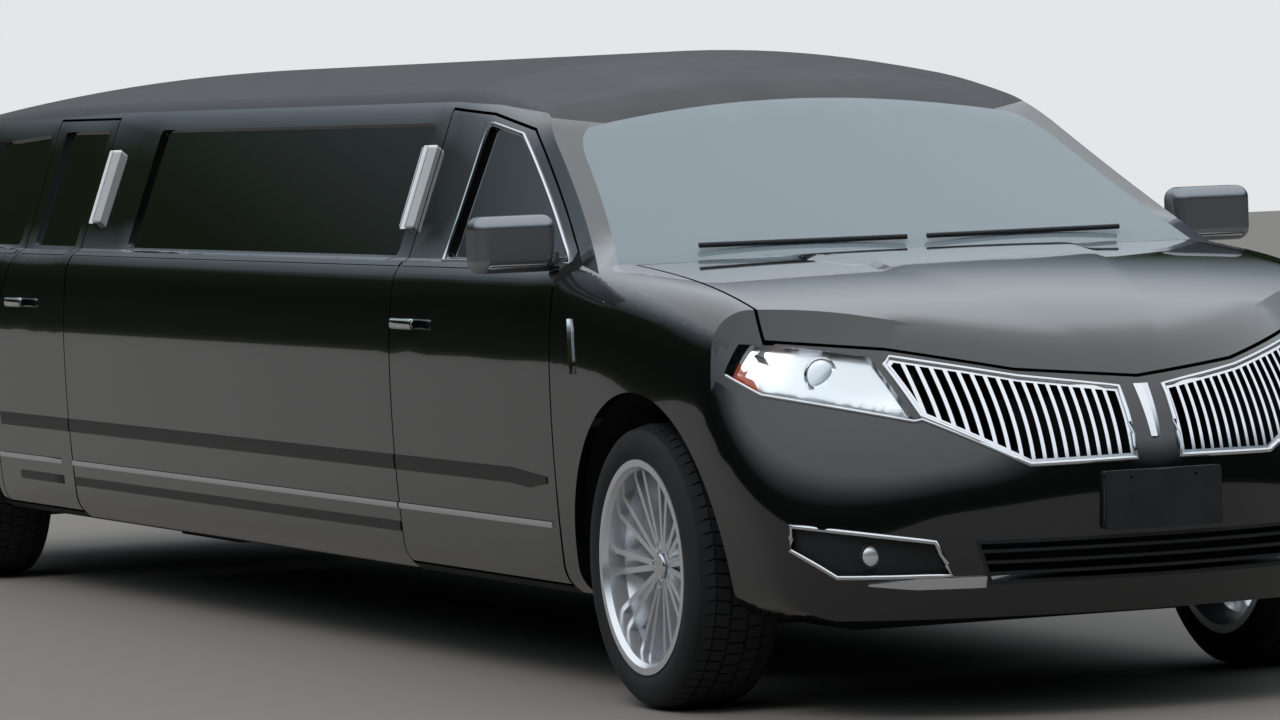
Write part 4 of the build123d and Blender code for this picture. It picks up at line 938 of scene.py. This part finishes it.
# Columns: name, x range, range along the car from the front axle, z range, sitting face, crown, channels,
# fill.
up, forwards, inwards = (2, 1), (1, -1), (0, 1)
stripes = (-0.62, -0.21, 0.21, 0.62)
pads = []
for side, x in (("left", 0.370), ("right", -0.370)):
    pads += [
        (f"front_seat_cushion_{side}", (x - 0.258, x + 0.258), (1.123, 1.577), (0.442, 0.568), up, 0.030,
         (-0.45, 0.45), 0.7),
        (f"front_seat_back_{side}", (x - 0.258, x + 0.258), (1.583, 1.728), (0.484, 1.077), forwards, 0.034,
         (-0.55, 0.0, 0.5), 0.7),
        (f"front_headrest_{side}", (x - 0.128, x + 0.128), (1.643, 1.718), (1.092, 1.247), forwards, 0.018,
         (), 0.8),
    ]
benchStart, benchEnd, benchCount = 2.253, 4.647, 4
for i in range(benchCount):
    length = (benchEnd - benchStart) / benchCount
    reach = (benchStart + length * i + 0.002, benchStart + length * (i + 1) - 0.002)
    pads += [
        (f"long_bench_cushion_{i + 1}", (-0.676, -0.323), reach, (0.432, 0.558), up, 0.030, stripes, 0.7),
        (f"long_bench_back_{i + 1}", (-0.798, -0.684), reach, (0.562, 0.998), inwards, 0.028, (), 0.7),
    ]
for i in range(2):
    reach = (-0.557 + 0.559 * i, -0.002 + 0.559 * i)
    pads.append((f"rear_bench_cushion_{i + 1}", reach, (4.963, 5.336), (0.432, 0.558), up, 0.030, (), 0.7))
    pads.append((f"rear_bench_back_{i + 1}", reach, (5.343, 5.458), (0.562, 1.117), forwards, 0.030,
                 (-0.6, -0.1, 0.4), 0.7))
welts = {"front_seat": [], "long_bench": [], "rear_bench": []}
cushions = {"front_seat": [], "long_bench": [], "rear_bench": []}
for name, xs, stations, heights, face, crown, channels, fill in pads:
    low = (xs[0], axleY + stations[0], heights[0])
    high = (xs[1], axleY + stations[1], heights[1])
    pad = meshPiece(name, *padMesh(low, high, face, crown, channels), "leather", "body", 180.0)
    group = next((key for key in welts if name.startswith(key)), "front_seat")
    welts[group].append(pipingMesh(low, high, face, crown))
    cushions[group].append((pad, fill))
for key, parts in welts.items():
    meshPiece(f"{key}_piping", *joined(parts), "leatherTrim", "body", 180.0)


# What carries the pads. Columns: name, replaced node, material, boxes of low and high corners.
def stationBox(x0, s0, z0, x1, s1, z1):
    return (x0, axleY + s0, z0), (x1, axleY + s1, z1)


seatShells = [
    ("front_seat_bases", "front_seats", "blackPlastic",
     [stationBox(x - 0.198, 1.182, floorTop, x + 0.198, 1.578, 0.440) for x in (0.370, -0.370)]
     + [stationBox(x - 0.235, 1.590, 0.440, x + 0.235, 1.700, 0.482) for x in (0.370, -0.370)]),
    ("headrest_posts", None, "chrome",
     [stationBox(x + shift - 0.006, 1.672, 1.070, x + shift + 0.006, 1.686, 1.098)
      for x in (0.370, -0.370) for shift in (-0.06, 0.06)]),
    ("long_bench_base", "long_bench", "blackPlastic",
     [stationBox(-0.798, 2.253, floorTop, -0.325, 4.647, 0.430),
      stationBox(-0.798, 2.253, 0.430, -0.682, 4.647, 0.560)]),
    ("rear_bench_base", "rear_bench", "blackPlastic",
     [stationBox(-0.557, 4.963, floorTop, 0.557, 5.457, 0.430),
      stationBox(-0.557, 5.342, 0.430, 0.557, 5.457, 0.560)]),
]
for name, node, material, boxes in seatShells:
    solids = [roundedBar(low, high, 0.004) for low, high in boxes]
    shell = meshPiece(name, *joined(solids), material, "body", 30.0)
    if node:
        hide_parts(node)
print("seats made:", len(pads))


# Camera, matched to the photograph's viewing angle
view = {
    "focalPixels": 6409.0,
    "imageWidth": 1280.0,
    "place": (-7.250, -15.060, 1.580),  # from the front axle, on the ground
    "yaw": 22.76,
    "pitch": 2.40,
    "roll": 2.01,
}


def makeCamera():
    yaw, pitch, roll = (math.radians(view[key]) for key in ("yaw", "pitch", "roll"))
    forward = Vector((math.sin(yaw) * math.cos(pitch), math.cos(yaw) * math.cos(pitch), -math.sin(pitch)))
    right = Vector((math.cos(yaw), -math.sin(yaw), 0))
    down = forward.cross(right)
    imageRight = right * math.cos(roll) + down * math.sin(roll)
    imageDown = down * math.cos(roll) - right * math.sin(roll)
    data = bpy.data.cameras.new("camera")
    data.sensor_width = 36.0
    data.lens = view["focalPixels"] / view["imageWidth"] * data.sensor_width
    data.clip_start = 0.5
    data.clip_end = 400.0
    camera = bpy.data.objects.new("camera", data)
    turn = Matrix((imageRight, -imageDown, -forward)).transposed().to_4x4()
    place = Vector(view["place"]) + Vector((0, axleY, 0))
    camera.matrix_world = Matrix.Translation(place) @ turn
    bpy.context.scene.collection.objects.link(camera)
    bpy.context.scene.camera = camera


# Floor, lights and surroundings
studio = {
    "floorColor": "#77736f",
    "floorSize": 90.0,
    "skyStrength": 1.25,
    # place along the height, from straight down to straight up, and colour
    "sky": [(0.0, "#3c3a38"), (0.49, "#1c2017"), (0.53, "#11160c"), (0.6, "#1d2617"), (0.66, "#7c8790"),
            (0.75, "#dfe7ee"), (1.0, "#f2f6fa")],
}


def makeFloor():
    mesh = bpy.data.meshes.new("floor")
    half = studio["floorSize"] / 2
    corners = [(-half, -half, 0), (half, -half, 0), (half, half, 0), (-half, half, 0)]
    mesh.from_pydata([(x, y, -0.0005) for x, y, _ in corners], [], [(0, 1, 2, 3)])
    floor = bpy.data.objects.new("floor", mesh)
    bpy.context.scene.collection.objects.link(floor)
    floor.data.materials.append(newMaterial("floorPaper", studio["floorColor"], 0.9))


def makeWorld():
    world = bpy.data.worlds.new("surroundings")
    bpy.context.scene.world = world
    world.use_nodes = True
    tree = world.node_tree
    background = tree.nodes["Background"]
    coords = tree.nodes.new("ShaderNodeTexCoord")
    split = tree.nodes.new("ShaderNodeSeparateXYZ")
    half = tree.nodes.new("ShaderNodeMath")
    half.operation = "MULTIPLY_ADD"
    half.inputs[1].default_value = 0.5
    half.inputs[2].default_value = 0.5
    ramp = tree.nodes.new("ShaderNodeValToRGB")
    tree.links.new(coords.outputs["Generated"], split.inputs["Vector"])
    tree.links.new(split.outputs["Z"], half.inputs[0])
    tree.links.new(half.outputs[0], ramp.inputs["Fac"])
    tree.links.new(ramp.outputs["Color"], background.inputs["Color"])
    stops = ramp.color_ramp.elements
    for i, (place, color) in enumerate(studio["sky"]):
        stop = stops[i] if i < 2 else stops.new(place)
        stop.position = place
        stop.color = toLinear(color)
    background.inputs["Strength"].default_value = studio["skyStrength"]
    clear = tree.nodes.new("ShaderNodeBackground")
    clear.inputs["Color"].default_value = toLinear("#e4e6e7")
    clear.inputs["Strength"].default_value = 1.0
    rays = tree.nodes.new("ShaderNodeLightPath")
    mix = tree.nodes.new("ShaderNodeMixShader")
    tree.links.new(rays.outputs["Is Camera Ray"], mix.inputs["Fac"])
    tree.links.new(background.outputs["Background"], mix.inputs[1])
    tree.links.new(clear.outputs["Background"], mix.inputs[2])
    tree.links.new(mix.outputs["Shader"], tree.nodes["World Output"].inputs["Surface"])


def makeLights():
    sun = bpy.data.lights.new("sun", "SUN")
    sun.energy = 1.3
    sun.angle = math.radians(25)
    holder = bpy.data.objects.new("sun", sun)
    holder.visible_glossy = False
    holder.rotation_euler = (math.radians(38), math.radians(-18), math.radians(-30))
    bpy.context.scene.collection.objects.link(holder)


makeCamera()
makeFloor()
makeWorld()
makeLights()
bpy.context.scene.view_settings.view_transform = "Standard"
print("camera, floor and lights made")
